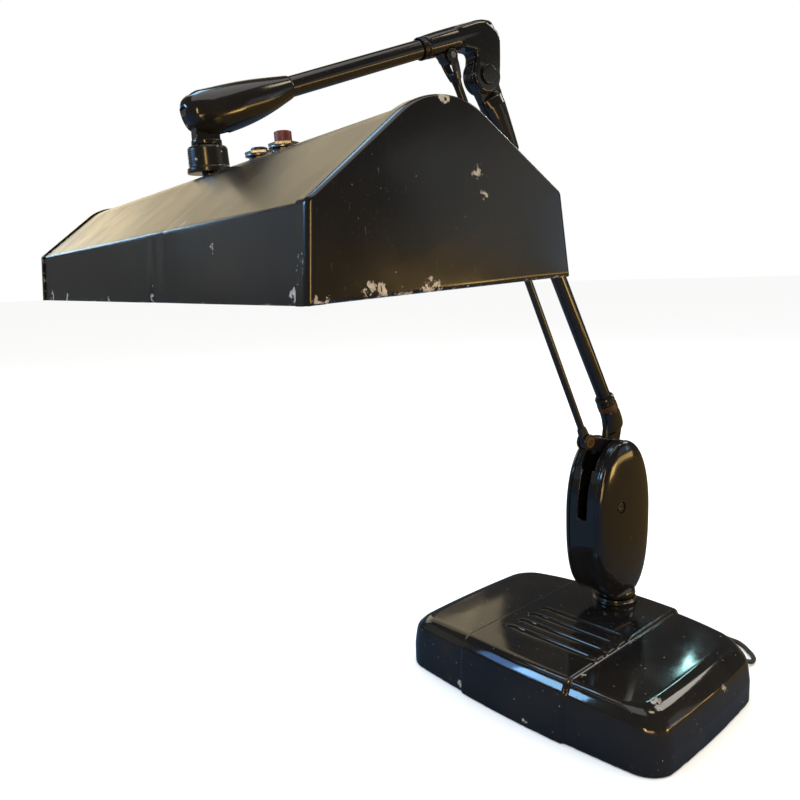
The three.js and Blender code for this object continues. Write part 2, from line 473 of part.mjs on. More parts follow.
add("rod_pin", barX(2.5, -7.4, 7.4, by, bz, 12), STEEL, ELBOW_UP);
add("boot_collar", pipeZ(8.3, 7.1, 49.8, 54.5), STEEL, UPPER);
add("upper_tube", pipeZ(TUBE_R, TUBE_BORE, 20.3, 196), ENAMEL, UPPER);

// Egg knuckle, split down the arm's plane around the tilt tongue.
const EGG = [[172.5, 7.5, 7.5, 0], [178, 8.6, 8.5, -0.3], [188, 10.8, 10.6, -0.9], [200, 12.8, 12.6, -1.4],
  [213, 13.9, 14, -1.7], [226, 14, 14.6, -1.7], [237, 13.5, 14.3, -1.2], [245, 11.6, 12.5, -0.6],
  [249.5, 8.6, 9.6, 0], [251.8, 4.2, 5.2, 0.3]];
const egg = loft(EGG.map(([s, rx, ry, c]) => ellipse(rx, ry, s, 24, 0, c)));
const eggBore = union(barZ(7.1, 7.1, 160, 196.3), barX(4.1, -10.6, 10.6, 0, UPPER_REACH, 16));
const SLOT_R = 13.4, SLOT_X = 4.9;
const tongueSlot = union(barX(SLOT_R, -SLOT_X, SLOT_X, 0, UPPER_REACH, 24), plate([
  [0, UPPER_REACH - SLOT_R], [-30, UPPER_REACH - SLOT_R], [-30, UPPER_REACH + 40],
  [6, UPPER_REACH + 40], [6, UPPER_REACH]], -SLOT_X, SLOT_X));
const EGG_SCREW = [-1.4, 207];           // y and z of the clamp screw, which enters from the left
const eggBody = egg.subtract(eggBore).subtract(tongueSlot).subtract(barX(2.5, -30, 9, ...EGG_SCREW, 12))
  .subtract(barX(4.6, -30, -11, ...EGG_SCREW, 16));
add("egg_shell_right", eggBody.intersect(block(0.15, 40, -60, 60, 100, 300)), ENAMEL, UPPER);
add("egg_shell_left", eggBody.intersect(block(-40, -0.15, -60, 60, 100, 300)), ENAMEL, UPPER);
const eggScrew = union(barX(2.2, -12.6, 8.6, ...EGG_SCREW, 12), barX(4.2, -13.2, -11.3, ...EGG_SCREW, 16));
add("egg_screw", eggScrew, STEEL, UPPER);

// ---------------------------------------------------------------- tilt tongue, stem and reflector
const TONGUE = new THREE.Matrix4().makeRotationZ(ARM_YAW)
  .multiply(new THREE.Matrix4().makeRotationX(REFL_TILT)).setPosition(KNUCKLE);
const tongue = union(
  barX(13, -4.6, 4.6, 0, 0, 24), block(-4.6, 4.6, -8, 8, -19, 0), barZ(9.8, 9.8, -20.4, -17.4));
add("tilt_tongue", tongue.subtract(barX(PIN_R, -9, 9, 0, 0, 16)).subtract(barZ(5.6, 5.6, -30, -16)),
  ENAMEL, TONGUE);
add("tilt_pin", barX(4, -10.4, 10.4, 0, UPPER_REACH, 16), STEEL, UPPER);
const stem = turned([
  [0, -19], [5.3, -19], [5.3, -20.7], [10.2, -20.7], [12.8, -22], [13, -34], [14.2, -34.4],
  [14.2, -37.6], [5, -37.6], [5, -50], [0, -50]], 24);
add("stem_collar", stem, ENAMEL, HEAD);
add("stem_nut", solid(new THREE.CylinderGeometry(9, 9, 5, 6).rotateX(Math.PI / 2))
  .subtract(barZ(5.3, 5.3, -9, 9)).translate(0, 0, -44.6), STEEL, HEAD);

// Section of the reflector: half width at the rim, lip, straight slope, rounded ridge.
function reflSection(inset, drop = 0, n = 8) {
  const yb = REFL_HALF - inset, lipTop = REFL_LIP - inset * 0.5;
  const yt = REFL_HALF - REFL_LIP * Math.tan(REFL_FLARE) - inset;
  const r = REFL_RIDGE_R - inset, zc = REFL_H - REFL_RIDGE_R;
  const s = Math.asin(r / Math.hypot(yt, lipTop - zc)) - Math.atan2(lipTop - zc, yt);   // slope's angle
  const half = [[yb + drop * Math.tan(REFL_FLARE), -drop], [yt, lipTop]];
  for (let i = 0; i <= n; i++) {
    const t = s * (1 - i / n);
    half.push([r * Math.sin(t), zc + r * Math.cos(t)]);
  }
  return half.concat(half.slice(0, -1).reverse().map(([y, z]) => [-y, z]));
}
const reflSolid = (inset, x0, x1, drop = 0) => plate(reflSection(inset, drop), x0, x1);
const CAP = 1.0, CAP_FLANGE = 9, HALF_L = REFL_L / 2;
const shellX = HALF_L - CAP - GAP;
const LIP_IN = 60.5, LIP_OUT = 67.2;
const lipFolds = block(-shellX, shellX, LIP_IN, LIP_OUT, 0, 1)
  .add(block(-shellX, shellX, -LIP_OUT, -LIP_IN, 0, 1));
const sheetOutside = reflSolid(1.3, -shellX, shellX);
add("reflector_shell", sheetOutside
  .subtract(reflSolid(2.3, -shellX - 1, shellX + 1, 5)).add(lipFolds.intersect(sheetOutside))
  .subtract(barZ(5.4, 5.4, 60, 90))
  .subtract(barZ(6.4, 6.4, 60, 90, 16).translate(SWITCH_X[0], 0, 0))
  .subtract(barZ(6.4, 6.4, 60, 90, 16).translate(SWITCH_X[1], 0, 0)), ENAMEL, REFL);
function endCap(s) {
  const x = (a, b) => s > 0 ? [a, b] : [-b, -a];
  return reflSolid(0, ...x(HALF_L - CAP_FLANGE, HALF_L))
    .subtract(reflSolid(1.0, ...x(HALF_L - CAP_FLANGE - 1, HALF_L - CAP), 5));
}
add("end_cap_right", endCap(1), ENAMEL, REFL);
add("end_cap_left", endCap(-1), ENAMEL, REFL);

const WIREWAY = [15, 40, 68.5];
const holderX = HALF_L - CAP - GAP - 10.5;
add("wireway", block(-holderX + 1, holderX - 1, -WIREWAY[0], WIREWAY[0], WIREWAY[1], WIREWAY[2])
  .subtract(block(-300, 300, -WIREWAY[0] + 1, WIREWAY[0] - 1, WIREWAY[1] + 1, 90)), WHITE, REFL);
function holder(s) {
  const x = s > 0 ? [holderX, HALF_L - CAP - GAP] : [-(HALF_L - CAP - GAP), -holderX];
  const lobe = (y) => union(barX(11.5, ...x, y, LAMP_Z, 16), block(...x, y - 8, y + 8, LAMP_Z, 46));
  const mouth = s > 0 ? [holderX - 1, holderX + 4] : [-holderX - 4, -holderX + 1];
  const slots = (y) => block(...mouth, y - 1.8, y + 1.8, LAMP_Z - 20, LAMP_Z + 7.5);
  return union(lobe(LAMP_Y), lobe(-LAMP_Y), block(...x, -LAMP_Y, LAMP_Y, 40, 50))
    .subtract(slots(LAMP_Y)).subtract(slots(-LAMP_Y));
}
add("lamp_holder_right", holder(1), WHITE, REFL);
add("lamp_holder_left", holder(-1), WHITE, REFL);
function fluorescentTube(y) {
  const h = LAMP_L / 2;
  const body = turned([
    [1.5, -h], [11.8, -h], [LAMP_R, -h + 1], [LAMP_R, h - 1], [11.8, h], [1.5, h],
    [1.5, h - 2], [11.5, h - 2], [11.5, -h + 2], [1.5, -h + 2], [1.5, -h]]).rotate([0, 90, 0]);
  const pin = (s, z) => barX(1.2, s > 0 ? h - 1 : -h - 3.4, s > 0 ? h + 3.4 : -h + 1, 0, z, 6);
  return union(body, pin(1, 6.2), pin(1, -6.2), pin(-1, 6.2), pin(-1, -6.2)).translate(0, y, LAMP_Z);
}
add("lamp_front", fluorescentTube(-LAMP_Y), GLASS, REFL);
add("lamp_back", fluorescentTube(LAMP_Y), GLASS, REFL);

// Push switches: a body under the ridge, its threaded bush and nut above it, and the button in the bush.
const BUSH_R = 6.1, BUTTON_R = 4.7, STEM_R = 2.8, BUSH_TOP = REFL_H + 3.2;
SWITCH_X.forEach((x, i) => {
  const name = ["off", "start"][i], top = REFL_H, capTop = top + [5.2, 9][i];
  const switchBody = barZ(8.5, 8.5, top - 26, top - 6, 16).add(barZ(BUSH_R, BUSH_R, top - 7, BUSH_TOP, 16));
  add(`switch_${name}_body`, switchBody
    .subtract(barZ(STEM_R + 0.4, STEM_R + 0.4, top - 22, top + 5, 12))
    .subtract(barZ(BUTTON_R + 0.3, BUTTON_R + 0.3, top - 1, top + 5, 16)).translate(x, 0, 0), BAKELITE, REFL);
  const nutBore = BUSH_R + GAP;
  const nut = pipeZ(8.2, nutBore, top + 0.3, top + 1.4).add(pipeZ(7.6, nutBore, top + 1.3, top + 3));
  add(`switch_${name}_nut`, nut.translate(x, 0, 0), CHROME, REFL);
  add(`button_${name}`, turned([
    [0, top - 18], [STEM_R, top - 18], [STEM_R, top + 2.5], [BUTTON_R, top + 2.5], [BUTTON_R, capTop - 0.6],
    [4.1, capTop], [0, capTop]], 16).translate(x, 0, 0), [BLACK, RED][i], REFL);
});

export default lamp;
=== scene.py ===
"""Floating-arm fluorescent desk lamp: the looks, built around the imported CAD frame.

Shapes are drawn in millimetres, each in the frame of the body that it belongs to (the base, the
arm's plane, the tubes, the reflector), and placed in metres by piece().
"""
import json
import math

import bmesh
import bpy
from mathutils import Matrix, Vector


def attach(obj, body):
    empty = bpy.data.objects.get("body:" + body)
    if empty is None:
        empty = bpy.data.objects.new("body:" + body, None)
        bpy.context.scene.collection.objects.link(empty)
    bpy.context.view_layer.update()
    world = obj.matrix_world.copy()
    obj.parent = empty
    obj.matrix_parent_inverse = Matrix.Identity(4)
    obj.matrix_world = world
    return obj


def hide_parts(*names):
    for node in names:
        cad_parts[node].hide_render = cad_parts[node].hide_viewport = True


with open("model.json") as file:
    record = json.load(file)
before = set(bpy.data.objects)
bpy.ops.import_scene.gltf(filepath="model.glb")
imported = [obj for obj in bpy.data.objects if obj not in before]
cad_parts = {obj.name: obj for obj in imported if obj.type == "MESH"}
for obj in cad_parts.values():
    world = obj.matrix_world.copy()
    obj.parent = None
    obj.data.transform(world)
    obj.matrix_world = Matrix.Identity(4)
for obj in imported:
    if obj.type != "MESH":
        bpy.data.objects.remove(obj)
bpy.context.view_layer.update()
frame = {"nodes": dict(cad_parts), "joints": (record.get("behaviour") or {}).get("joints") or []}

MM = 0.001
WORLD = Matrix.Identity(4)
SIDES = ((1, "right"), (-1, "left"))
JOINTS = {j["name"]: j for j in frame["joints"]}


# -------- places, from the frame
def joint_at(name):
    return Vector(JOINTS[name]["pos_m"]) / MM


def axes(x, y, z, at):
    """Frame with these three axes and origin."""
    m = Matrix((x, y, z)).transposed().to_4x4()
    m.translation = at
    return m


SIDE = Vector(JOINTS["lower_arm_tilt"]["axis"])          # across the arm's plane
FORWARD = Vector((SIDE.y, -SIDE.x, 0))
UP = Vector((0, 0, 1))
POST = joint_at("base_swivel") * Vector((1, 1, 0))
ARM = axes(SIDE, -FORWARD, UP, POST)                     # x side, y back, z up
PIVOT, ELBOW, KNUCKLE = (joint_at(n) for n in ("lower_arm_tilt", "elbow_tilt", "head_tilt"))
ROD_FOOT = joint_at("rod_follow")
LINK = ROD_FOOT - PIVOT                                  # crank's throw, and the lug's at the elbow

LOWER_LEAN, UPPER_LEAN = math.radians(28.7), math.radians(109.5)
UPPER_UP, UPPER_REACH = 32.3, 238.5


def leaning(at, lean):
    """Frame at a point of the arm's plane: x side, z along a bar that leans forward by that angle."""
    c, s = math.cos(lean), math.sin(lean)
    return axes(SIDE, -FORWARD * c + UP * s, FORWARD * s + UP * c, at)


LOWER = leaning(ELBOW, LOWER_LEAN)
upper_root = KNUCKLE - leaning(ELBOW, UPPER_LEAN).to_3x3() @ Vector((0, 0, UPPER_REACH))
UPPER = leaning(upper_root, UPPER_LEAN)
HOUSE_AT_PIVOT, AT_ELBOW = leaning(PIVOT, 0), leaning(ELBOW, 0)
rod_way = ELBOW - PIVOT
ROD_LEAN = math.atan2(rod_way.dot(FORWARD), rod_way.z)
ROD = leaning(ROD_FOOT, ROD_LEAN)
ROD_L = rod_way.length

REFL_YAW, REFL_TILT = math.radians(-7.3), math.radians(3)
HEAD = Matrix.Translation(KNUCKLE) @ Matrix.Rotation(REFL_YAW, 4, "Z") @ Matrix.Rotation(REFL_TILT, 4, "X")
STEM_LEN, REFL_H = 38.2, 75.7
REFL = HEAD @ Matrix.Translation((0, 0, -(STEM_LEN + REFL_H)))   # x along, y back, z up from the rim


def link(name, data):
    obj = bpy.data.objects.new(name, data)
    bpy.context.scene.collection.objects.link(obj)
    return obj


# -------- camera
CAMERA_AT = Vector((0.39523, -0.57866, 0.39165))
CAMERA_TURN = (-47.54, -9.24, -1.9)                      # yaw, pitch and roll in degrees
SENSOR, LENS = 36, 33.675


def add_camera():
    """To the right and in front of the lamp, a little above the reflector's rim."""
    cam = link("camera", bpy.data.cameras.new("camera"))
    yaw, pitch, roll = (math.radians(a) for a in CAMERA_TURN)
    ahead = Vector((math.sin(yaw) * math.cos(pitch), math.cos(yaw) * math.cos(pitch), math.sin(pitch)))
    right = ahead.cross(UP).normalized()
    above = right.cross(ahead)
    across = right * math.cos(roll) + above * math.sin(roll)
    cam.matrix_world = axes(across, ahead.cross(across) * -1, -ahead, CAMERA_AT)
    cam.data.sensor_width, cam.data.lens = SENSOR, LENS
    cam.data.clip_start = 0.01
    bpy.context.scene.camera = cam


add_camera()


# -------- mesh tools
CAST_SHARP, CAST_MERGE = 50, 1e-6        # degrees at which a casting's edge stays sharp; weld distance in m


def piece(name, shape, at=WORLD, sharp=35):
    """Object from (points, faces) in millimetres, smooth except across edges sharper than that."""
    points, faces = shape
    mesh = bpy.data.meshes.new(name)
    mesh.from_pydata([(at @ Vector(p)) * MM for p in points], [], faces)
    tidy(mesh, sharp)
    return link(name, mesh)


def tidy(mesh, sharp=35, merge=1e-7):
    bm = bmesh.new()
    bm.from_mesh(mesh)
    bmesh.ops.remove_doubles(bm, verts=bm.verts, dist=merge)
    bmesh.ops.dissolve_degenerate(bm, edges=bm.edges, dist=1e-8)
    bmesh.ops.recalc_face_normals(bm, faces=bm.faces)
    bm.to_mesh(mesh)
    bm.free()
    mesh.shade_smooth()
    mesh.set_sharp_from_angle(angle=math.radians(sharp))


def loft(rings, closed=True, caps=True, loop=False):
    """Skin over rings of equal count."""
    n = len(rings[0])
    points = [p for ring in rings for p in ring]
    faces = []
    rows = len(rings) if loop else len(rings) - 1
    for k in range(rows):
        k1 = (k + 1) % len(rings)
        for i in range(n if closed else n - 1):
            j = (i + 1) % n
            faces.append((k * n + i, k * n + j, k1 * n + j, k1 * n + i))
    if caps:
        faces.append(tuple(reversed(range(n))))
        faces.append(tuple((len(rings) - 1) * n + i for i in range(n)))
    return points, faces


def merged(*shapes):
    points, faces = [], []
    for p, f in shapes:
        o = len(points)
        points += p
        faces += [tuple(i + o for i in face) for face in f]
    return points, faces


def circle(n):
    return [2 * math.pi * i / n for i in range(n)]


def moved(shape, matrix):
    return [matrix @ Vector(p) for p in shape[0]], shape[1]


def round_corners(points, radius, steps=4, closed=False):
    """Polyline with its corners filleted. radius is a number, or one for each point."""
    pts = [Vector(p) for p in points]
    n = len(pts)
    out = []
    for i, p in enumerate(pts):
        r = radius[i] if isinstance(radius, (list, tuple)) else radius
        if (not closed and i in (0, n - 1)) or r <= 0:
            out.append(p)
            continue
        a, b = pts[i - 1] - p, pts[(i + 1) % n] - p
        if min(a.length, b.length) < 1e-9 or a.angle(b) > math.radians(178):
            out.append(p)
            continue
        angle = a.angle(b)
        back = min(r / math.tan(angle / 2), a.length * 0.48, b.length * 0.48)
        s, e = p + a.normalized() * back, p + b.normalized() * back
        for k in range(steps + 1):
            t = k / steps
            out.append(s * (1 - t) ** 2 + p * 2 * t * (1 - t) + e * t ** 2)
    return held(out, closed)


def held(line, closed, gap=0.9):
    """The line with a point beside each end of its long straight runs, so that edge wear stays at the edge."""
    out = []
    for i, p in enumerate(line):
        out.append(p)
        q = line[(i + 1) % len(line)]
        if (i < len(line) - 1 or closed) and (q - p).length > 3 * gap:
            way = (q - p).normalized() * gap
            out += [p + way, q - way]
    return out


def turned(profile, n=48, radius=0.0, closed=False):
    """Turned about Z from (radius, height) points, filleted by radius."""
    line = round_corners([(r, z, 0) for r, z in profile], radius, closed=closed)
    spokes = [(max(p.x, 1e-4), p.y) for p in line]
    rings = [[(r * math.cos(a), r * math.sin(a), z) for a in circle(n)] for r, z in spokes]
    return loft(rings, caps=not closed, loop=closed)


def ring_profile(bore, outer, z0, z1):
    return [(bore, z0), (outer, z0), (outer, z1), (bore, z1)]


def bar_profile(r, z0, z1):
    return ring_profile(0, r, z0, z1)


ALONG_X = Matrix.Rotation(math.radians(90), 4, "Y")      # Z axis to X


def disc(r, x0, x1, y=0.0, z=0.0, n=48, edge=0.6):
    """Round bar along X with softened rims."""
    return moved(turned(bar_profile(r, x0, x1), n, edge), Matrix.Translation((0, y, z)) @ ALONG_X)


def slab(outline, x0, x1, radius=0.0):
    """Plate along X from a (y, z) outline, with its corners rounded."""
    line = round_corners([(0, y, z) for y, z in outline], radius, 6, closed=True)
    return loft([[(x, p.y, p.z) for p in line] for x in (x0, x1)])


def web(p, q, w0, w1, x0, x1):
    """Tapered plate along X between two (y, z) points, with half widths w0 and w1."""
    way = Vector((q[0] - p[0], q[1] - p[1])).normalized()
    n = Vector((-way.y, way.x))
    a, b = Vector(p), Vector(q)
    return slab([a + n * w0, a - n * w0, b - n * w1, b + n * w1], x0, x1)


def box(x0, x1, y0, y1, z0, z1):
    ring = lambda z: [(x0, y0, z), (x1, y0, z), (x1, y1, z), (x0, y1, z)]
    return loft([ring(z0), ring(z1)])


def bulge(v, e):
    return math.copysign(abs(v) ** e, v)


def ellipse(rx, ry, z, cx=0.0, cy=0.0, n=64, power=2.0):
    return [(cx + rx * bulge(math.cos(a), 2 / power), cy + ry * bulge(math.sin(a), 2 / power), z)
            for a in circle(n)]


def smooth_rows(rows, steps=5):
    """Rows of numbers with Catmull-Rom steps between them, for a loft's stations."""
    out = []
    for i in range(len(rows) - 1):
        a, b, c, d = rows[max(i - 1, 0)], rows[i], rows[i + 1], rows[min(i + 2, len(rows) - 1)]
        for k in range(steps):
            t = k / steps
            out.append([0.5 * (2 * q + (r - p) * t + (2 * p - 5 * q + 4 * r - s) * t * t
                               + (3 * q - p - 3 * r + s) * t ** 3) for p, q, r, s in zip(a, b, c, d)])
    out.append(list(rows[-1]))
    return out


def egg_loft(rows, n=64, steps=5):
    """Skin over ellipses given as [z, rx, ry, cy] rows."""
    rows = smooth_rows(rows, steps)
    return loft([ellipse(max(rx, 0.05), max(ry, 0.05), z, 0, cy, n) for z, rx, ry, cy in rows])


def baked(obj, *modifiers):
    """obj with these modifiers applied; each is (type, {setting: value})."""
    for kind, settings in modifiers:
        m = obj.modifiers.new(kind.lower(), kind)
        for key, value in settings.items():
            setattr(m, key, value)
    mesh = bpy.data.meshes.new_from_object(obj.evaluated_get(bpy.context.evaluated_depsgraph_get()))
    obj.modifiers.clear()
    old, obj.data = obj.data, mesh
    bpy.data.meshes.remove(old)
    return obj


def dropped(obj):
    """Removes a helper object together with its mesh."""
    mesh = obj.data
    bpy.data.objects.remove(obj)
    bpy.data.meshes.remove(mesh)


def boolean(obj, shape, at=WORLD, operation="DIFFERENCE"):
    """obj cut by, or kept inside, a closed shape in millimetres."""
    tool = piece("tool", shape, at)
    bpy.context.view_layer.update()
    baked(obj, ("BOOLEAN", {"object": tool, "operation": operation, "solver": "EXACT"}))
    dropped(tool)
    return obj


def fused(obj, voxel, soften):
    """Overlapping solids made one skin, with its edges softened."""
    return baked(obj, ("REMESH", {"mode": "VOXEL", "voxel_size": voxel * MM}),
                 ("SMOOTH", {"factor": 0.5, "iterations": soften}))


def edited(obj, change):
    """obj after change(bm) has been made to its mesh."""
    bm = bmesh.new()
    bm.from_mesh(obj.data)
    change(bm)
    bm.to_mesh(obj.data)
    bm.free()
    return obj


def casting(name, shape, at, cuts=(), voxel=0.7, soften=6):
    """Overlapping solids fused into one casting with softened edges, then cut and softened again."""
    obj = fused(piece(name, shape, at), voxel, soften)
    for cut in cuts:
        boolean(obj, cut, at)
    if cuts:
        fused(obj, voxel, 2)
    tidy(obj.data, CAST_SHARP, CAST_MERGE)
    return obj


def painted(obj, material):
    obj.data.materials.clear()
    obj.data.materials.append(material)


def done(obj, body, material, slot, *nodes):
    """Gives a piece its material and body, and hides the CAD nodes that it stands for; slot is not used."""
    painted(obj, material)
    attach(obj, body)
    if nodes:
        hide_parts(*nodes)
    return obj


# -------- procedural materials
class Nodes:
    """Short way to wire a material's nodes."""

    def __init__(self, name):
        self.mat = bpy.data.materials.new(name)
        self.mat.use_nodes = True
        self.tree = self.mat.node_tree
        self.tree.nodes.clear()
        self.out = self.tree.nodes.new("ShaderNodeOutputMaterial")
        self.place = self.new("TexCoord").outputs["Object"]

    def new(self, kind, inputs=None, **settings):
        n = self.tree.nodes.new("ShaderNode" + kind)
        for key, value in settings.items():
            setattr(n, key, value)
        self.feed(n, inputs or {})
        return n

    def feed(self, node, inputs):
        """Links the inputs that are sockets and sets the others."""
        for key, value in inputs.items():
            if isinstance(value, bpy.types.NodeSocket):
                self.tree.links.new(value, node.inputs[key])
            else:
                node.inputs[key].default_value = value

    def stretch(self, x=1.0, y=1.0, z=1.0):
        return self.new("Mapping", {0: self.place, "Scale": (x, y, z)}).outputs[0]

    def noise(self, scale, detail=3.0, rough=0.5, at=None, offset=0.0):
        place = at or self.place
        if offset:
            place = self.new("Mapping", {0: place, "Location": (offset, offset * 0.7, -offset)}).outputs[0]
        inputs = {"Vector": place, "Scale": scale, "Detail": detail, "Roughness": rough}
        return self.new("TexNoise", inputs).outputs[0]

    def step(self, value, low, high, bottom=0.0, top=1.0):
        """Smooth step of a value from bottom to top between low and high."""
        return self.new("MapRange", {0: value, 1: low, 2: high, 3: bottom, 4: top},
                        interpolation_type="SMOOTHSTEP").outputs[0]

    def math(self, op, a, b):
        return self.new("Math", {0: a, 1: b}, operation=op).outputs[0]

    def times(self, a, b):
        return self.math("MULTIPLY", a, b)

    def mix(self, factor, a, b):
        n = self.new("Mix", data_type="RGBA")
        self.feed(n, {0: factor, 6: a, 7: b})
        return n.outputs[2]

    def bump(self, height, strength, distance, normal=None):
        inputs = {"Height": height, "Strength": strength, "Distance": distance}
        if normal is not None:
            inputs["Normal"] = normal
        return self.new("Bump", inputs).outputs[0]

    def near(self, point, radius):
        """1 at a point given in millimetres, 0 beyond the radius."""
        centre = tuple(c * MM for c in point)
        gap = self.new("VectorMath", {0: self.place, 1: centre}, operation="DISTANCE").outputs["Value"]
        return self.step(gap, radius * MM, radius * 0.35 * MM)

    def edges(self, low, high):
        """1 on outward edges, from the mesh's own curvature."""
        return self.step(self.new("NewGeometry").outputs["Pointiness"], low, high)

    def surface(self, **inputs):
        named = {key.replace("_", " "): value for key, value in inputs.items()}
        shader = self.new("BsdfPrincipled", named)
        self.tree.links.new(shader.outputs[0], self.out.inputs[0])
        return self.mat


def grey(v, warm=0.0):
    return v * (1 + warm), v, v * (1 - warm), 1


BLACK, AGED_BLACK, SCUFF = (0.0042, 0.0042, 0.0048, 1), (0.0090, 0.0074, 0.0058, 1), (0.20, 0.19, 0.18, 1)
PRIMER_DARK, PRIMER_PALE, RUST = (0.13, 0.115, 0.10, 1), (0.50, 0.46, 0.41, 1), (0.09, 0.035, 0.015, 1)


def enamel(name, chips=(), edge=0.55, rough=0.1, haze=0.1, scratches=0.5, dots=0.0, wave=0.25):
    """Old glossy black enamel: uneven gloss, fine scratches, paint gone at edges and in a few places.

    chips are (x, y, z, radius) in millimetres; edge is how much of the outward edges is bare, dots how
    many small knocks there are, wave how far the sheet is from flat.
    """
    n = Nodes(name)
    smudge = n.noise(9, 5, 0.6)
    cloud = n.noise(22, 4, 0.55, offset=3)
    ripple = n.noise(16, 2, 0.4, offset=11)
    grain = n.noise(900, 2, 0.6)
    lines_a = n.step(n.noise(1.0, 4, 0.75, n.stretch(60, 900, 900), 5), 0.665, 0.71)
    lines_b = n.step(n.noise(1.0, 4, 0.75, n.stretch(850, 850, 70), 9), 0.665, 0.715)
    lines = n.times(n.math("MAXIMUM", lines_a, lines_b), n.step(n.noise(14, 3, offset=7), 0.45, 0.7))
    speck = n.noise(560, 5, 0.72, offset=2)
    ragged = n.noise(210, 7, 0.7, offset=6)
    patch = n.noise(70, 4, 0.7, offset=4)
    both = n.math("ADD", n.times(speck, 0.5), n.times(patch, 0.5))
    rim = n.times(n.edges(0.525, 0.6), n.step(both, 0.66 - 0.13 * edge, 0.70 - 0.13 * edge))
    knocks = n.step(n.noise(420, 2, 0.5, offset=13), 0.78 - 0.05 * dots, 0.80 - 0.05 * dots)
    bare = n.math("MAXIMUM", rim, n.times(knocks, n.step(patch, 0.5, 0.56)))
    for x, y, z, radius in chips:
        around = n.near((x, y, z), radius)
        local = n.step(n.math("ADD", ragged, n.times(around, 0.30)), 0.80, 0.815)
        bare = n.math("MAXIMUM", bare, n.times(local, n.math("GREATER_THAN", around, 0.02)))
    primer = n.mix(n.noise(500, 3), PRIMER_DARK, PRIMER_PALE)
    aged = n.mix(n.step(smudge, 0.4, 0.7), BLACK, AGED_BLACK)
    scuffed = n.mix(n.times(lines, scratches), aged, SCUFF)
    gloss = n.math("ADD", n.step(cloud, 0.3, 0.75, rough, rough + haze), n.times(lines, 0.15))
    height = n.math("ADD", n.times(ripple, wave), n.times(grain, 0.006))
    soft = n.bump(height, 0.5, 0.0016)
    whole = n.math("SUBTRACT", 1.0, n.math("MAXIMUM", bare, n.times(lines, 0.3)))
    dull = n.math("MAXIMUM", gloss, n.times(bare, 0.5))
    return n.surface(Base_Color=n.mix(bare, scuffed, primer), Roughness=dull,
                     Metallic=n.times(bare, 0.35), Normal=n.bump(whole, 0.8, 0.00018, soft))


def metal(name, dark, light, rough, streak=(1, 1, 1), metallic=1.0, rust=0.0):
    """Bare or plated metal with brushed streaks and, where asked, brown stains."""
    n = Nodes(name)
    brush = n.noise(600, 3, 0.6, n.stretch(*streak))
    stain = n.step(n.noise(120, 5, 0.7, offset=2), 0.62 - rust * 0.25, 0.72 - rust * 0.2)
    base = n.mix(n.noise(60, 4), dark, light)
    base = n.mix(n.times(stain, rust), base, RUST)
    gloss = n.step(brush, 0.3, 0.7, rough * 0.8, rough * 1.25)
    return n.surface(Base_Color=base, Roughness=gloss, Metallic=metallic, Normal=n.bump(brush, 0.12, 0.0002))


def plain(name, dark, light, rough, scale=80, bump=0.15, distance=0.0003):
    """Moulded or painted stuff with a little mottling and a fine grain."""
    n = Nodes(name)
    grain = n.noise(scale * 12, 3, 0.6)
    tone = n.mix(n.step(n.noise(scale, 4, 0.6), 0.35, 0.65), dark, light)
    gloss = n.step(n.noise(scale * 1.7, 3), 0.3, 0.7, rough * 0.85, rough * 1.15)
    return n.surface(Base_Color=tone, Roughness=gloss, Normal=n.bump(grain, bump, distance))


STEEL = metal("worn_steel", grey(0.16), grey(0.42, 0.03), 0.34, (1, 1, 0.1), rust=0.35)
CHROME = metal("dull_chrome", grey(0.16), grey(0.38, 0.02), 0.3, rust=0.12)
DARK_STEEL = metal("dark_steel", grey(0.02), grey(0.07, 0.05), 0.36, rust=0.5)
IRON = metal("cast_iron", grey(0.03), grey(0.08), 0.7, metallic=0.6, rust=0.4)
BROWN = metal("oxidised_brown", (0.022, 0.012, 0.007, 1), (0.12, 0.062, 0.03, 1), 0.42, metallic=0.7, rust=0.8)
RUBBER = plain("cord_rubber", grey(0.010), grey(0.022), 0.55, 120)
BAKELITE = plain("bakelite", grey(0.008), (0.02, 0.012, 0.008, 1), 0.28, 60)
FELT = plain("green_felt", (0.012, 0.03, 0.018, 1), (0.03, 0.065, 0.04, 1), 0.95, 300, 0.8, 0.0006)
WHITE = plain("white_enamel", (0.62, 0.60, 0.54, 1), (0.74, 0.72, 0.67, 1), 0.33, 25)
LAMP_GLASS = plain("phosphor_glass", (0.80, 0.81, 0.79, 1), (0.87, 0.87, 0.84, 1), 0.13, 12, 0.02)
BUTTON_RED = plain("button_red", (0.075, 0.010, 0.008, 1), (0.135, 0.020, 0.014, 1), 0.4, 260)
BUTTON_BLACK = plain("button_black", grey(0.010), grey(0.024), 0.28, 260)
TIE = plain("paper_tie", (0.16, 0.14, 0.10, 1), (0.24, 0.21, 0.16, 1), 0.7, 200)


def on_refl(x, y, z, r):
    p = REFL @ Vector((x, y, z))
    return p.x, p.y, p.z, r


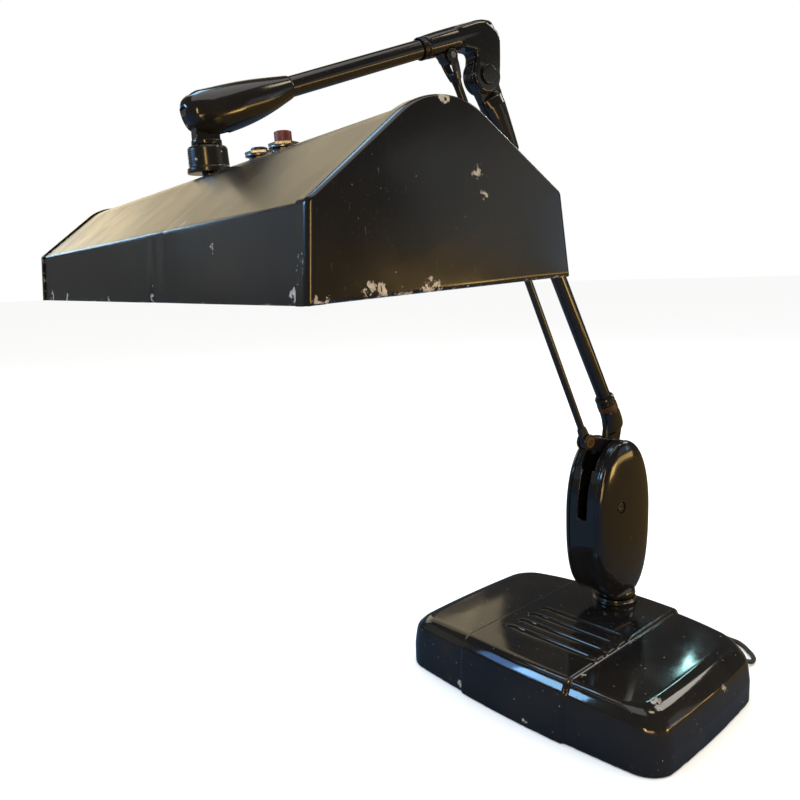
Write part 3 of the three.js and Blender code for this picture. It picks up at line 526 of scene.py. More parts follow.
ENAMEL_BASE = enamel("enamel_base", [
    (122, -62, 47, 12), (128, -66, 36, 9), (61, -72, 56, 7), (60, -54, 56, 4), (59, -37, 56, 4),
    (132, -76, 12, 12), (-137, -80, 22, 8), (-60, -97, 8, 7), (20, -99, 6, 6), (139, 20, 36, 7)],
    edge=0.9, rough=0.055, haze=0.07, scratches=1.0, dots=1.0)
ENAMEL_HOUSING = enamel("enamel_housing", [
    (24, 35, 88, 10), (20, 24, 80, 8), (18, 88, 110, 6), (-14, 22, 150, 7)],
    edge=0.5, rough=0.07, haze=0.06, scratches=0.3, dots=0.3, wave=0.5)
ENAMEL_ARM = enamel("enamel_arm", [
    (-45, -245, 534, 6), (-54, -300, 516, 7), (-52, -318, 518, 6), (-60, -340, 490, 6)],
    edge=0.6, rough=0.09, haze=0.08)
ENAMEL_REFL = enamel("enamel_reflector", [
    on_refl(-205, -68, 2, 12), on_refl(-150, -68, 2, 7), on_refl(150, -67, 26, 7), on_refl(60, -68, 3, 6),
    on_refl(-30, -68, 2, 6), on_refl(104, -60, 38, 5), on_refl(228, -68, 3, 7)],
    edge=0.8, rough=0.2, haze=0.07, scratches=0.4)
ENAMEL_CAP = enamel("enamel_end_cap", [
    on_refl(241, 14, 46, 7), on_refl(241, 17, 37, 5), on_refl(241, 12, 21, 3), on_refl(241, -40, 1, 12),
    on_refl(241, -12, 1, 10), on_refl(241, -62, 1, 7), on_refl(241, 0, 75, 6)],
    edge=0.8, rough=0.15, haze=0.09, scratches=0.35, dots=0.4, wave=0.9)
ENAMEL_COLLAR = enamel("enamel_collar", [
    (-54, -340, 478, 7), (-50, -336, 470, 6), (-62, -332, 472, 5)], edge=0.9, rough=0.16)
ENAMEL_SWIVEL = enamel("enamel_swivel", edge=0.8, rough=0.16)
ENAMEL_ROD = enamel("enamel_rod", edge=0.7, rough=0.2, scratches=0.9)


# -------- cord, coil, tie and plug
CORD_R, CORD_Z = 2.2, 2.5
EXIT = (104.6, 95, 14)
COIL_AT, COIL_OUTER, LAYER = (-45, 147.5), 34.8, 4.4
COIL_TURNS, COIL_ENTRY = 5, math.radians(85.8)
PLUG_TURN, PLUG_OFF, PLUG_Z = math.radians(120), 22, 9.4


def curve_through(points, spacing):
    """Points at an even spacing on a smooth curve through these."""
    rows = smooth_rows([list(p) for p in points], 24)
    out, left = [Vector(rows[0])], spacing
    for a, b in zip(rows, rows[1:]):
        a, b = Vector(a), Vector(b)
        span = (b - a).length
        at = left
        while at <= span:
            out.append(a.lerp(b, at / span))
            at += spacing
        left = at - span
    return out


def coil_points():
    """In on the lower layer, up beside the hole, out on the upper layer, turning left."""
    ease = lambda t: t * t * (3 - 2 * t)
    turned_by = lambda deg: COIL_ENTRY + math.radians(deg)
    at = lambda deg, r, z: (COIL_AT[0] + r * math.cos(turned_by(deg)), COIL_AT[1] + r * math.sin(turned_by(deg)), z)
    radius = lambda k: COIL_OUTER - LAYER * k
    out, last = [], COIL_TURNS - 1
    for turn in range(COIL_TURNS):
        for deg in range(0, 360, 6):
            step_in = ease(min(max((deg - 300) / 50, 0), 1)) if turn < last else 0
            climb = ease(min(max((deg - 250) / 50, 0), 1)) if turn == last else 0
            out.append(at(deg, radius(turn + step_in), CORD_Z + LAYER * climb))
    leave = math.degrees(PLUG_TURN - COIL_ENTRY)
    for turn in range(last + 1):
        stop = leave if turn == last else 360
        deg = 0
        while deg < stop:
            step_out = ease(min(max((deg - 200) / 50, 0), 1))
            out.append(at(deg, radius(last - turn - step_out), CORD_Z + LAYER))
            deg += 6
    return out


def tube_mesh(path, radius, n=14):
    """Round tube along a path, its rings carried along without twist, with flat ends."""
    rings, side = [], None
    for i, p in enumerate(path):
        way = (path[min(i + 1, len(path) - 1)] - path[max(i - 1, 0)]).normalized()
        side = way.orthogonal().normalized() if side is None else (side - way * side.dot(way)).normalized()
        other = way.cross(side)
        rings.append([p + (side * math.cos(a) + other * math.sin(a)) * radius for a in circle(n)])
    return loft(rings)


heading = PLUG_TURN + math.pi / 2
leave_at = Vector((*COIL_AT, 0)) + Vector((math.cos(PLUG_TURN), math.sin(PLUG_TURN), 0)) * COIL_OUTER
plug_at = leave_at + Vector((math.cos(heading), math.sin(heading), 0)) * PLUG_OFF
run = [(104.6, 101, 14), (104.6, 114.5, 14), (105.8, 121.3, 12.3), (109.9, 128, 9), (114, 134.8, 5.4),
       (115.2, 141.6, 3.1), (113.5, 149.7, CORD_Z), (108.8, 156.3, CORD_Z), (102.8, 161.8, CORD_Z),
       (96.8, 167.3, CORD_Z), (89.4, 171.8, CORD_Z), (83.5, 173, CORD_Z), (48, 175.6, CORD_Z),
       (12, 178.2, CORD_Z), (-24.1, 180.9, CORD_Z)]
to_plug = []
for t in (0.25, 0.5, 0.75, 1.0):
    rise = (PLUG_Z - CORD_Z - LAYER) * t * t * (3 - 2 * t)
    to_plug.append(tuple(leave_at.lerp(plug_at, t) + Vector((0, 0, CORD_Z + LAYER + rise))))
cord_path = curve_through(run + coil_points() + to_plug, 2.4)
cord = done(piece("mains_cord", tube_mesh(cord_path, CORD_R)), "base", RUBBER, "rubber", "cord", "cord_coil")

gland = turned([(2.3, 0), (8.5, 0), (8.5, 2.4), (6.1, 2.7), (5.8, 6), (4.9, 7), (5.5, 8), (4.6, 11), (5.1, 12),
                (4.3, 15), (4.7, 16), (3.9, 19), (4.3, 20), (3.5, 26), (2.3, 26)], 40, 0.4, True)
GLAND = Matrix.Translation((EXIT[0], EXIT[1] - 8, EXIT[2])) @ Matrix.Rotation(-math.pi / 2, 4, "X")
done(piece("cord_gland_ribbed", gland, GLAND), "base", RUBBER, "rubber", "cord_gland")

TIE_HALF, TIE_THICK, TIE_MIDDLE = 2.6, 0.5, Vector((26, 5, 0))
tie_line = round_corners([(14.2, 0.15, 0), (37.8, 0.15, 0), (37.8, 9.9, 0), (14.2, 9.9, 0)], 3.5, 6, True)
tie_rings = []
for p in tie_line:
    q = p + (TIE_MIDDLE - p).normalized() * TIE_THICK
    tie_rings.append([(p.x, -TIE_HALF, p.y), (p.x, TIE_HALF, p.y), (q.x, TIE_HALF, q.y), (q.x, -TIE_HALF, q.y)])
AT_TIE = Matrix.Translation((*COIL_AT, 0)) @ Matrix.Rotation(math.radians(250), 4, "Z")
tie = done(piece("coil_tie", loft(tie_rings, caps=False, loop=True), AT_TIE), "base", TIE, "rubber")

plug_rows = [[0, 3.2, 3.2, 0], [1, 4.2, 4.2, 0], [4, 5.6, 5.2, 0], [9, 6.8, 5.8, 0], [13, 7.8, 6.3, 0],
             [16, 11.6, 8.2, 0], [18, 12.7, 8.8, 0], [24, 13, 9, 0], [29, 12.8, 8.9, 0], [30.6, 12.2, 8.3, 0],
             [31, 11.2, 7.4, 0]]
PLUG = (Matrix.Translation((plug_at.x, plug_at.y, PLUG_Z)) @ Matrix.Rotation(heading - math.pi * 1.5, 4, "Z")
        @ Matrix.Rotation(math.pi / 2, 4, "X"))
plug = done(piece("plug_body", egg_loft(plug_rows, 48, 4), PLUG), "base", BAKELITE, "bakelite", "cord_plug")
blade = [(-3.2, 30), (3.2, 30), (3.2, 45.6), (1.9, 47), (-1.9, 47), (-3.2, 45.6)]
blades = piece("plug_blades", merged(*(slab(blade, x - 0.8, x + 0.8) for x in (-6.3, 6.3))), PLUG)
done(blades, "base", STEEL, "steel")


# -------- base
BASE_HALF, BASE_TOP, PANEL_HALF, PANEL_OUT = 138.5, 56.5, 58, 2.4
WING_TOP, WING_END_TOP, FLOOR_Z = 53.8, 49.5, 0.4
DEPTH_HALF, FRONT_BOW, BACK_BOW = 89, 9, 18
GROOVES = (6, -12.5, -30.5, -48.5)
MIDS = 11                                  # stations along each end of a ring


def base_ring(inset, z, half_x=BASE_HALF, out=0.0, corner=20, end_bow=5, end_inset=1.0):
    """Front stations, right end, back stations, left end; z is a height, or a function of x."""
    a, rc, b = half_x - inset * end_inset, max(corner - inset * 0.4, 2), DEPTH_HALF - inset + out
    turn = [math.radians(90 * i / 8) for i in range(8, 0, -1)]
    stations = [(-a + rc - rc * math.sin(t), rc * (1 - math.cos(t))) for t in turn]
    stations += [((-1 + i / 16) * (a - rc), 0) for i in range(33)]
    stations += [(a - rc + rc * math.sin(t), rc * (1 - math.cos(t))) for t in reversed(turn)]
    bow = lambda x, k: k * (1 - min(1, (x / BASE_HALF) ** 2))
    front = [(x, -(b - drop) - bow(x, FRONT_BOW)) for x, drop in stations]
    back = [(x, b - drop + bow(x, BACK_BOW)) for x, drop in stations]
    y0, y1 = front[-1][1], back[-1][1]
    mids = [y0 + (y1 - y0) * k / (MIDS + 1) for k in range(1, MIDS + 1)]
    ring = front + [(a, y) for y in mids] + back[::-1] + [(-a, y) for y in reversed(mids)]
    height = z if callable(z) else (lambda x: z)
    bend = lambda x, y: math.copysign(end_bow * abs(x / a) ** 8 * (1 - (y / (DEPTH_HALF + BACK_BOW)) ** 2), x)
    return len(front), [(x + bend(x, y), y, height(x)) for x, y in ring]


def base_loft(levels):
    """Skin over such rings; top and bottom are closed front to back at each station."""
    rings = [base_ring(*args, **more) for *args, more in levels]
    n, count = rings[0][0], len(rings[0][1])
    points, faces = loft([r for _, r in rings], caps=False)
    for o in (0, (len(rings) - 1) * count):
        back = lambda j: o + n + MIDS + (n - 1 - j)
        faces += [(o + j, o + j + 1, back(j + 1), back(j)) for j in range(n - 1)]
        faces.append(tuple(o + k for k in range(n - 1, n + MIDS + 1)))
        faces.append(tuple([o + k for k in range(2 * n + MIDS - 1, 2 * n + 2 * MIDS)] + [o]))
    return points, faces


def wing_top(drop):
    """Height of the wings along x, falling off towards the ends."""
    def z(x):
        f = min(1, max(0, (abs(x) - PANEL_HALF) / (BASE_HALF - PANEL_HALF)))
        return WING_TOP - drop - (WING_TOP - WING_END_TOP) * f * f
    return z


ROUNDING = smooth_rows([                   # inset and drop of the cover's top edge
    [0, 30], [1.0, 18], [1.9, 12], [2.9, 9.4], [6.2, 4.1], [8.2, 1.9], [10.4, 0.6], [13, 0]], 3)
PANEL_PLAN = {"out": PANEL_OUT, "corner": 3, "end_bow": 0}
cover_body = base_loft([(0, FLOOR_Z, {})] + [(i, wing_top(d), {"end_inset": 1.8}) for i, d in ROUNDING])
cover_panel = base_loft([(0, FLOOR_Z, {"half_x": PANEL_HALF, **PANEL_PLAN})] + [
    (i, BASE_TOP - d, {"half_x": PANEL_HALF + i * 0.9, **PANEL_PLAN}) for i, d in ROUNDING])
GROOVE_RISE = 7.0                          # height of a groove cutter's axis over the panel
GROOVE_CUTTER = ((-50, 4.0), (-46, 6.4), (-38, 8.4), (-24, 9.2), (46, 9.2), (52, 8.9), (57, 8.2), (61, 7.4))
grooves = [loft([[(x, y + r * math.cos(a), BASE_TOP + GROOVE_RISE + r * math.sin(a)) for a in circle(48)]
                 for x, r in GROOVE_CUTTER]) for y in GROOVES]
base = casting("base_cover_pressed", merged(cover_body, cover_panel), WORLD, (merged(*grooves),), 0.8, 3)


def open_below(bm):
    """Takes off the faces that would lie on the bottom pan."""
    under = [f for f in bm.faces if f.normal.z < -0.9 and f.calc_center_median().z < 1.2 * MM]
    bmesh.ops.delete(bm, geom=under, context="FACES")


done(edited(base, open_below), "base", ENAMEL_BASE, "enamel", "base_cover")
AT_POST = Matrix.Translation(POST)
ring = turned([(7, 56.7), (22.2, 56.7), (22.2, 59.4), (21.0, 60.2), (20.4, 62), (7, 62)], 96, 0.5, True)
done(piece("swivel_ring", ring, AT_POST), "base", ENAMEL_SWIVEL, "enamel", "swivel_collar")

# -------- spring housing
HOUSING_Y, HOUSING_Z, HOUSING_A, HOUSING_UP, HOUSING_DOWN = -12.9, 152, 38.9, 76.8, 84
BOLT = (-24, 165)
FRAME_HALF = 16
SLOT_HALF, MOUTH_HALF, MOUTH_Z = 5.8, 8.7, 201


def oval(inset, x, n=120):
    """Outline of the housing: narrower round its top than at its foot."""
    out = []
    for a in circle(n):
        tall, power = (HOUSING_UP, 2.15) if math.sin(a) > 0 else (HOUSING_DOWN, 2.7)
        out.append((x, HOUSING_Y + (HOUSING_A - inset) * bulge(math.cos(a), 2 / power),
                    HOUSING_Z + (tall - inset) * bulge(math.sin(a), 2 / power)))
    return out


def shell_skin(side):
    """Pressed half shell: rim against the centre casting, rolled shoulder and a faintly domed face."""
    inner = [(21.4, 20), (21.4, 7), (19.4, 3), (16.4, 1.8)]
    outer = smooth_rows([[16.3, 0.35], [16.7, 0.02], [18.6, 0.25], [20.4, 1.0], [21.8, 2.4], [22.8, 4.2],
                         [23.6, 6.6], [24.3, 9.5], [25.2, 15], [26.0, 24], [26.4, 33]], 3)
    return loft([oval(max(i, 0), side * x) for x, i in inner + outer])


for side, word in SIDES:
    shell = piece("housing_side_" + word, shell_skin(side), ARM)
    boolean(shell, disc(5.8, *sorted((side * 24.6, side * 30)), *BOLT, edge=0.3), ARM)
    boolean(shell, turned([(0, 50), (23, 50), (23, 74), (0, 74)], 64), ARM)
    tidy(shell.data, 38)
    done(shell, "housing", ENAMEL_HOUSING, "enamel", "housing_shell_" + word)

band_outer = [oval(i, x) for x, i in (
    (-FRAME_HALF, 0.9), (0.4 - FRAME_HALF, 0.5), (FRAME_HALF - 0.4, 0.5), (FRAME_HALF, 0.9))]
band_inner = [oval(3.6, x) for x in (FRAME_HALF, -FRAME_HALF)]
band = loft(band_outer + band_inner, caps=False, loop=True)
neck = turned([(6.9, 62.4), (19, 62.4), (20.4, 64), (20.6, 66), (19.8, 69.5), (17.6, 72.5), (15.8, 75), (12, 86),
               (6.9, 86)], 72, 0.8, True)
slot_low = slab([(HOUSING_Y - 60, 152), (HOUSING_Y - 20, 152), (HOUSING_Y - 20, 212), (HOUSING_Y - 60, 212)],
                -SLOT_HALF, SLOT_HALF, 0.5)
slot_top = box(-MOUTH_HALF, MOUTH_HALF, HOUSING_Y - 60, HOUSING_Y + 60, MOUTH_Z, 250)
housing = casting("housing_centre_casting", merged(band, neck), ARM, (slot_low, slot_top), 0.6, 3)
done(housing, "housing", ENAMEL_HOUSING, "enamel", "housing_frame")

bolt_head = boolean(piece("housing_screw", disc(4.8, 24.2, 26.0, *BOLT, edge=1.1), ARM),
                    box(25.4, 27, BOLT[0] - 6, BOLT[0] + 6, BOLT[1] - 0.5, BOLT[1] + 0.5), ARM)
done(bolt_head, "housing", ENAMEL_HOUSING, "steel", "housing_bolt")

# -------- lower arm
at_pivot = LOWER.inverted() @ PIVOT
oy, oz = at_pivot.y, at_pivot.z
lower_neck = loft([ellipse(rx, ry, oz + z, 0, cy) for rx, ry, z, cy in (
    (7.6, 12.0, 12.5, -3.2), (8.3, 12.7, 15, -2.8), (8.5, 12.2, 20, -1.5), (8.7, 10.6, 28, 0), (9.2, 9.4, 34, 0),
    (8.9, 9.0, 35.1, 0))])
blade = merged(disc(11, -2.9, 2.9, oy, oz), web((oy, oz), (-2, oz + 18), 10.5, 11.5, -2.9, 2.9))
tail = web((oy, oz), (oy - 9.4, oz - 10.7), 6.8, 3.8, -2.8, 2.8)
knuckle = casting("lower_knuckle_casting", merged(lower_neck, blade, tail), LOWER, voxel=0.5, soften=4)
done(knuckle, "lower_arm", ENAMEL_ARM, "enamel", "lower_knuckle")
done(piece("friction_ring_brown", turned(ring_profile(7.1, 9.6, oz + 35.3, oz + 42), 72, 0.5, True), LOWER),
     "lower_arm", BROWN, "brown_metal", "friction_ring")
jam = turned([(r, oz + z) for r, z in (
    (7.1, 42.3), (9.3, 42.3), (9.3, 45), (8.9, 45.4), (9.3, 45.8), (9.3, 49), (8, 51), (7.1, 51))], 72, 0.3, True)
done(piece("jam_ring_turned", jam, LOWER), "lower_arm", ENAMEL_ARM, "enamel", "jam_ring")

TUBE_R, TUBE_BORE = 6.8, 5.4
EYE_HALF = 3.9                             # half thickness of the elbow's drum and of the rod's lug


def tube_skin(z0, z1):
    return turned(ring_profile(TUBE_BORE, TUBE_R, z0, z1), 72, 0.3, True)


done(piece("lower_tube_drawn", tube_skin(oz + 27.3, -36), LOWER), "lower_arm", ENAMEL_ARM, "enamel", "lower_tube")
cone = loft([ellipse(rx, ry, z) for rx, ry, z in (
    (7.4, 7.4, -64.2), (7.9, 7.9, -63.4), (8.6, 8.8, -52), (9.6, 10.2, -34), (9.4, 11.4, -24), (8.3, 12, -17.5),
    (5, 9, -15.2))])
drum = merged(disc(13.6, -EYE_HALF, EYE_HALF), web((0, 0), (0, -20), 12.4, 11, -EYE_HALF, EYE_HALF))
elbow_low = casting("elbow_knuckle_casting", merged(cone, drum), LOWER, voxel=0.5, soften=4)
done(elbow_low, "lower_arm", ENAMEL_ARM, "enamel", "elbow_knuckle")

# -------- crank and control rod
link_y, link_z = -math.hypot(LINK.x, LINK.y), LINK.z
crank_parts = [slab([(16.0, -9.6), (21, -10.2), (21, -1.0), (16.0, -0.8)], -5.4, 5.4)]
for xs in ((3.2, 5.4), (-5.4, -3.2)):
    crank_parts += [disc(9, *xs), disc(8, *xs, link_y, link_z), web((0, 0), (link_y, link_z), 8, 6.5, *xs),
                    web((0, 0), (19, -5.6), 8, 5, *xs)]
crank = casting("crank_plates", merged(*crank_parts), HOUSE_AT_PIVOT, voxel=0.4, soften=2)
done(crank, "crank", ENAMEL_ARM, "enamel", "crank")
AT_CRANK_PIN = HOUSE_AT_PIVOT @ Matrix.Translation((0, link_y, link_z)) @ ALONG_X
eye_bush = turned([(2.9, -5.9), (5.6, -5.9), (5.6, 5.9), (2.9, 5.9)], 48, 0.5, True)
done(piece("crank_eye_bush", eye_bush, AT_CRANK_PIN), "crank", BROWN, "brown_metal")

ROD_EYE = (-2.9, 2.9)
rod_parts = [disc(6.6, *ROD_EYE), web((0, 0), (0, 16), 5.4, 3.6, *ROD_EYE),
             loft([ellipse(3.4, 3.4, z, n=40) for z in (12, ROD_L - 22)]),
             loft([ellipse(rx, ry, ROD_L - z) for rx, ry, z in (
                 (3.3, 3.3, 27), (3.7, 3.4, 22), (5.0, 3.5, 17), (5.9, 3.3, 13.5), (5.4, 2.2, 11.5))])]
PRONG = ((2.6, 2.2, 3.1, 18), (4.6, 1.7, 3.4, 12), (5.5, 1.4, 3.8, 7), (5.6, 1.3, 4.6, 0))
for side in (1, -1):
    rod_parts.append(loft([ellipse(rx, ry, ROD_L - z, side * cx, power=3) for cx, rx, ry, z in PRONG]))
    rod_parts.append(disc(5.2, *sorted((side * 4.2, side * 6.8)), 0, ROD_L, edge=0.8))
rod = casting("control_rod_forged", merged(*rod_parts), ROD, voxel=0.4, soften=3)
done(rod, "rod", ENAMEL_ROD, "enamel", "control_rod")

# -------- upper arm
sin_u, cos_u = math.sin(UPPER_LEAN), math.cos(UPPER_LEAN)


def on_upper(s, u):
    """A point s out along the upper tube and u above its axis, in the elbow's upright plane."""
    return -(s * sin_u - (u + UPPER_UP) * cos_u), s * cos_u + (u + UPPER_UP) * sin_u


to_upright = AT_ELBOW.inverted() @ UPPER
boot_bar = moved(loft([ellipse(rx, ry, z) for rx, ry, z in (
    (5.4, 4.6, -21), (7.2, 6.8, -19), (8.4, 8.5, -13), (8.6, 9.2, 8), (8.6, 9, 36), (8.5, 8.6, 48),
    (8.1, 8.2, 49.6))]), to_upright)
boot_side = [on_upper(20, 8.0), on_upper(-4, 8.6), on_upper(-12, 7.6), (6.6, 37.8), (12.0, 34.8), (14.6, 29.5),
             (14.7, 16), (14.2, 0), (-12.2, 5), (-11.2, 12), (-12.5, 17), on_upper(20, -7)]
boot_line = [Vector((p.y, p.z)) for p in round_corners([(0, *q) for q in boot_side], 3.5, 5, True)]
SIDE_MID, SIDE_DEPTH = Vector((1, 18)), 18
PILLOW = ((-8.4, 3.4), (-8.0, 2.0), (-7.0, 0.8), (-5.4, 0), (5.4, 0), (7.0, 0.8), (8.0, 2.0), (8.4, 3.4))
boot_plate = loft([[(x, *(SIDE_MID + (p - SIDE_MID) * (1 - inset / SIDE_DEPTH))) for p in boot_line]
                   for x, inset in PILLOW])
boot = piece("elbow_boot_casting", merged(boot_plate, disc(14, -8.3, 8.3, edge=2.4), boot_bar), AT_ELBOW)
fused(boot, 0.5, 14)
SLIT_HALF, SPOT_R = 4.2, 5.9               # the slit for the drum, and the rod's spot faces beside the lug
for cut in (disc(14.2, -SLIT_HALF, SLIT_HALF, edge=0), box(-SLIT_HALF, SLIT_HALF, -15, 20, -20, 0.1),
            box(-SLIT_HALF, SLIT_HALF, 6, 20, -20, 13), disc(SPOT_R, 3.9, 7.4, link_y, link_z, edge=0),
            disc(SPOT_R, -7.4, -3.9, link_y, link_z, edge=0)):
    boolean(boot, cut, AT_ELBOW)
lug = piece("lug", merged(disc(6.4, -EYE_HALF, EYE_HALF, link_y, link_z),
                          web((link_y, link_z), on_upper(34, -2), 6.4, 7, -EYE_HALF, EYE_HALF)), AT_ELBOW)
edited(boot, lambda bm: bm.from_mesh(lug.data))
dropped(lug)
fused(boot, 0.5, 3)
tidy(boot.data, CAST_SHARP, CAST_MERGE)
done(boot, "upper_arm", ENAMEL_ARM, "enamel", "elbow_boot")
pin = piece("elbow_pin_cap", merged(disc(7.5, 8.6, 10.4, edge=0.8), disc(4, -8.2, 9)), AT_ELBOW)
done(pin, "upper_arm", ENAMEL_ARM, "enamel", "elbow_pin")
collar = piece("boot_collar_ring", turned(ring_profile(7.1, 8.3, 49.9, 54.5), 72, 0.5, True), UPPER)
done(collar, "upper_arm", DARK_STEEL, "steel", "boot_collar")
done(piece("upper_tube_drawn", tube_skin(20.3, 196), UPPER), "upper_arm", ENAMEL_ARM, "enamel", "upper_tube")

EGG = [[172.5, 6.9, 6.9, 0], [173.2, 7.6, 7.6, 0], [178, 8.7, 8.6, -0.3], [188, 10.8, 10.6, -0.9],
       [200, 12.8, 12.6, -1.4], [213, 13.9, 14, -1.7], [226, 14, 14.6, -1.7], [237, 13.5, 14.3, -1.2],
       [245, 11.6, 12.5, -0.6], [249.5, 8.6, 9.6, 0], [251.2, 5.6, 6.4, 0.2], [251.9, 2.6, 3.2, 0.3]]
EGG_SCREW, SEAM_HALF, GAP_HALF, GAP_R = (-1.4, 207), 0.25, 4.9, 13.4
gap = [(0, -GAP_R), (-30, -GAP_R), (-30, 40), (6, 40), (6, 0)]
tongue_slot = (disc(GAP_R, -GAP_HALF, GAP_HALF, 0, UPPER_REACH, edge=0),
               slab([(y, UPPER_REACH + z) for y, z in gap], -GAP_HALF, GAP_HALF))
for side, word in SIDES:
    half = piece("egg_half_" + word, egg_loft(EGG, 80, 5), UPPER)
    boolean(half, box(*sorted((side * SEAM_HALF, side * 40)), -60, 60, 100, 300), UPPER, "INTERSECT")
    for cut in tongue_slot:
        boolean(half, cut, UPPER)
    if side < 0:
        boolean(half, disc(4.8, -30, -11.2, *EGG_SCREW, edge=0.2), UPPER)
    tidy(half.data, 38)
    done(half, "upper_arm", ENAMEL_ARM, "enamel", "egg_shell_" + word)
egg_screw = boolean(piece("egg_screw_head", disc(4.2, -13.2, -11.2, *EGG_SCREW, edge=0.9), UPPER),
                    box(-15, -12.4, -8, 5, 206.5, 207.5), UPPER)
done(egg_screw, "upper_arm", DARK_STEEL, "steel", "egg_screw")

# -------- tilt tongue, stem and reflector
TONGUE = Matrix.Translation(KNUCKLE) @ ARM.to_3x3().to_4x4() @ Matrix.Rotation(REFL_TILT, 4, "X")
foot = turned(bar_profile(9.8, -20.4, -17.4), 64)
tongue = casting("tilt_tongue_casting", merged(disc(13, -4.6, 4.6), box(-4.6, 4.6, -8, 8, -19, 0), foot), TONGUE,
                 voxel=0.45, soften=2)
done(tongue, "tilt", ENAMEL_ARM, "enamel", "tilt_tongue")
stem = turned([(0, -19), (5.3, -19), (5.3, -20.7), (10.2, -20.7), (12.2, -21.6), (12.8, -22.8), (13, -33.6),
               (13.3, -34.3), (14.2, -34.6), (14.2, -37.6), (5, -37.6), (5, -50), (0, -50)], 96, 0.5)
done(piece("stem_collar_turned", stem, HEAD), "head", ENAMEL_COLLAR, "enamel", "stem_collar")

REFL_HALF, REFL_LIP, RIDGE_R, FLARE, HALF_L = 68.8, 37.2, 36.5, math.radians(6.35), 241.5
CAP, FLANGE, CAP_ROLL = 1.0, 9, 3.6
SHELL_X = HALF_L - CAP - 0.3


def refl_line(inset, n=28):
    """Open line of the reflector's section from one rim over the ridge to the other: (y, z)."""
    yb, lip = REFL_HALF - inset, REFL_LIP - inset * 0.5
    yt = REFL_HALF - REFL_LIP * math.tan(FLARE) - inset
    r, zc = RIDGE_R - inset, REFL_H - RIDGE_R
    s = math.asin(r / math.hypot(yt, lip - zc)) - math.atan2(lip - zc, yt)
    ridge = (r * math.sin(s), zc + r * math.cos(s), 0)
    fold = round_corners([(yb, 0, 0), (yt, lip, 0), ridge], 3.2, 6) + [Vector(ridge)]
    half = [(p.x, p.y) for p in fold[:-1]]
    half += [(r * math.sin(s * (1 - i / n)), zc + r * math.cos(s * (1 - i / n))) for i in range(n + 1)]
    return half + [(-y, z) for y, z in half[-2::-1]]


def sheet_ring(x, inset):
    """Closed section of 1 mm sheet at x."""
    return [(x, y, z) for y, z in refl_line(inset) + refl_line(inset + 1.0)[::-1]]


def dented(x, y, z):
    """Soft hollows and a crease that runs down the front lip."""
    front = max(0.0, min(1.0, (-y - 20) / 40))
    low = max(0.0, min(1.0, (REFL_LIP + 6 - z) / 30))
    crease = math.exp(-((x - 62 - 0.5 * z) / 3.2) ** 2) * 1.1 * low
    hollow = math.exp(-((x - 84) / 26) ** 2 - ((z - 12) / 22) ** 2) * 1.0
    lean = math.exp(-((x + 95) / 60) ** 2) * 0.5 * low
    inward = front * (crease + hollow + lean)
    return x, y + inward, z


stations = [-SHELL_X + 2 * SHELL_X * i / 160 for i in range(161)]
sheet_skin = loft([[dented(*p) for p in sheet_ring(x, 1.3)] for x in stations])
folds = [box(-SHELL_X, SHELL_X, *ys, 0.05, 1.0) for ys in ((60.5, 66.9), (-66.9, -60.5))]
sheet = piece("reflector_folded_sheet", merged(sheet_skin, *folds), REFL)
done(sheet, "head", ENAMEL_REFL, "enamel", "reflector_shell")


def cap_skin(side):
    """Pressed end cap: flange over the sheet, rolled edge and a flat face."""
    flange = loft([sheet_ring(side * x, 0) for x in (HALF_L - FLANGE, HALF_L - CAP_ROLL)])
    rows = [[(side * (HALF_L - CAP_ROLL), y, z) for y, z in refl_line(1.0)]]
    for k in range(9):
        t = math.radians(90 * k / 8)
        inset = CAP_ROLL * (1 - math.cos(t))
        x = side * (HALF_L - CAP_ROLL + CAP_ROLL * math.sin(t))
        rows.append([(x, y, z + inset * 0.6) for y, z in refl_line(inset)])
    return merged(flange, loft(rows))


for side, word in SIDES:
    end_cap = piece("end_cap_pressed_" + word, cap_skin(side), REFL, 40)
    done(end_cap, "head", ENAMEL_CAP, "enamel", "end_cap_" + word)

# -------- inside of the reflector
LAMP_L, LAMP_Y, LAMP_Z = 451.6, 30, 22
HOLDER_X = SHELL_X - 10.5
tray = [round_corners([(0, -w, 68.5), (0, -w, z), (0, w, z), (0, w, 68.5)], r, 5)
        for w, z, r in ((15, 40, 2.5), (14, 41, 1.6))]
tray_ring = tray[0] + tray[1][::-1]
tray_skin = loft([[(x, p.y, p.z) for p in tray_ring] for x in (1 - HOLDER_X, HOLDER_X - 1)])
wireway = piece("wireway_channel", tray_skin, REFL)
done(wireway, "head", WHITE, "white_enamel", "wireway")
for side, word in SIDES:
    x0, x1 = sorted((side * HOLDER_X, side * SHELL_X))
    lobes = []
    for y in (LAMP_Y, -LAMP_Y):
        lobes += [disc(11.5, x0, x1, y, LAMP_Z, edge=1), box(x0, x1, y - 8, y + 8, LAMP_Z, 46)]
    lobes.append(box(x0, x1, -LAMP_Y, LAMP_Y, 40, 50))
    xs = sorted((side * (HOLDER_X - 1), side * (HOLDER_X + 4)))
    slots = tuple(box(*xs, y - 1.8, y + 1.8, LAMP_Z - 20, LAMP_Z + 7.5) for y in (LAMP_Y, -LAMP_Y))
    holder = casting("lamp_holder_moulded_" + word, merged(*lobes), REFL, slots, 0.6, 3)
    done(holder, "head", WHITE, "white_enamel", "lamp_holder_" + word)


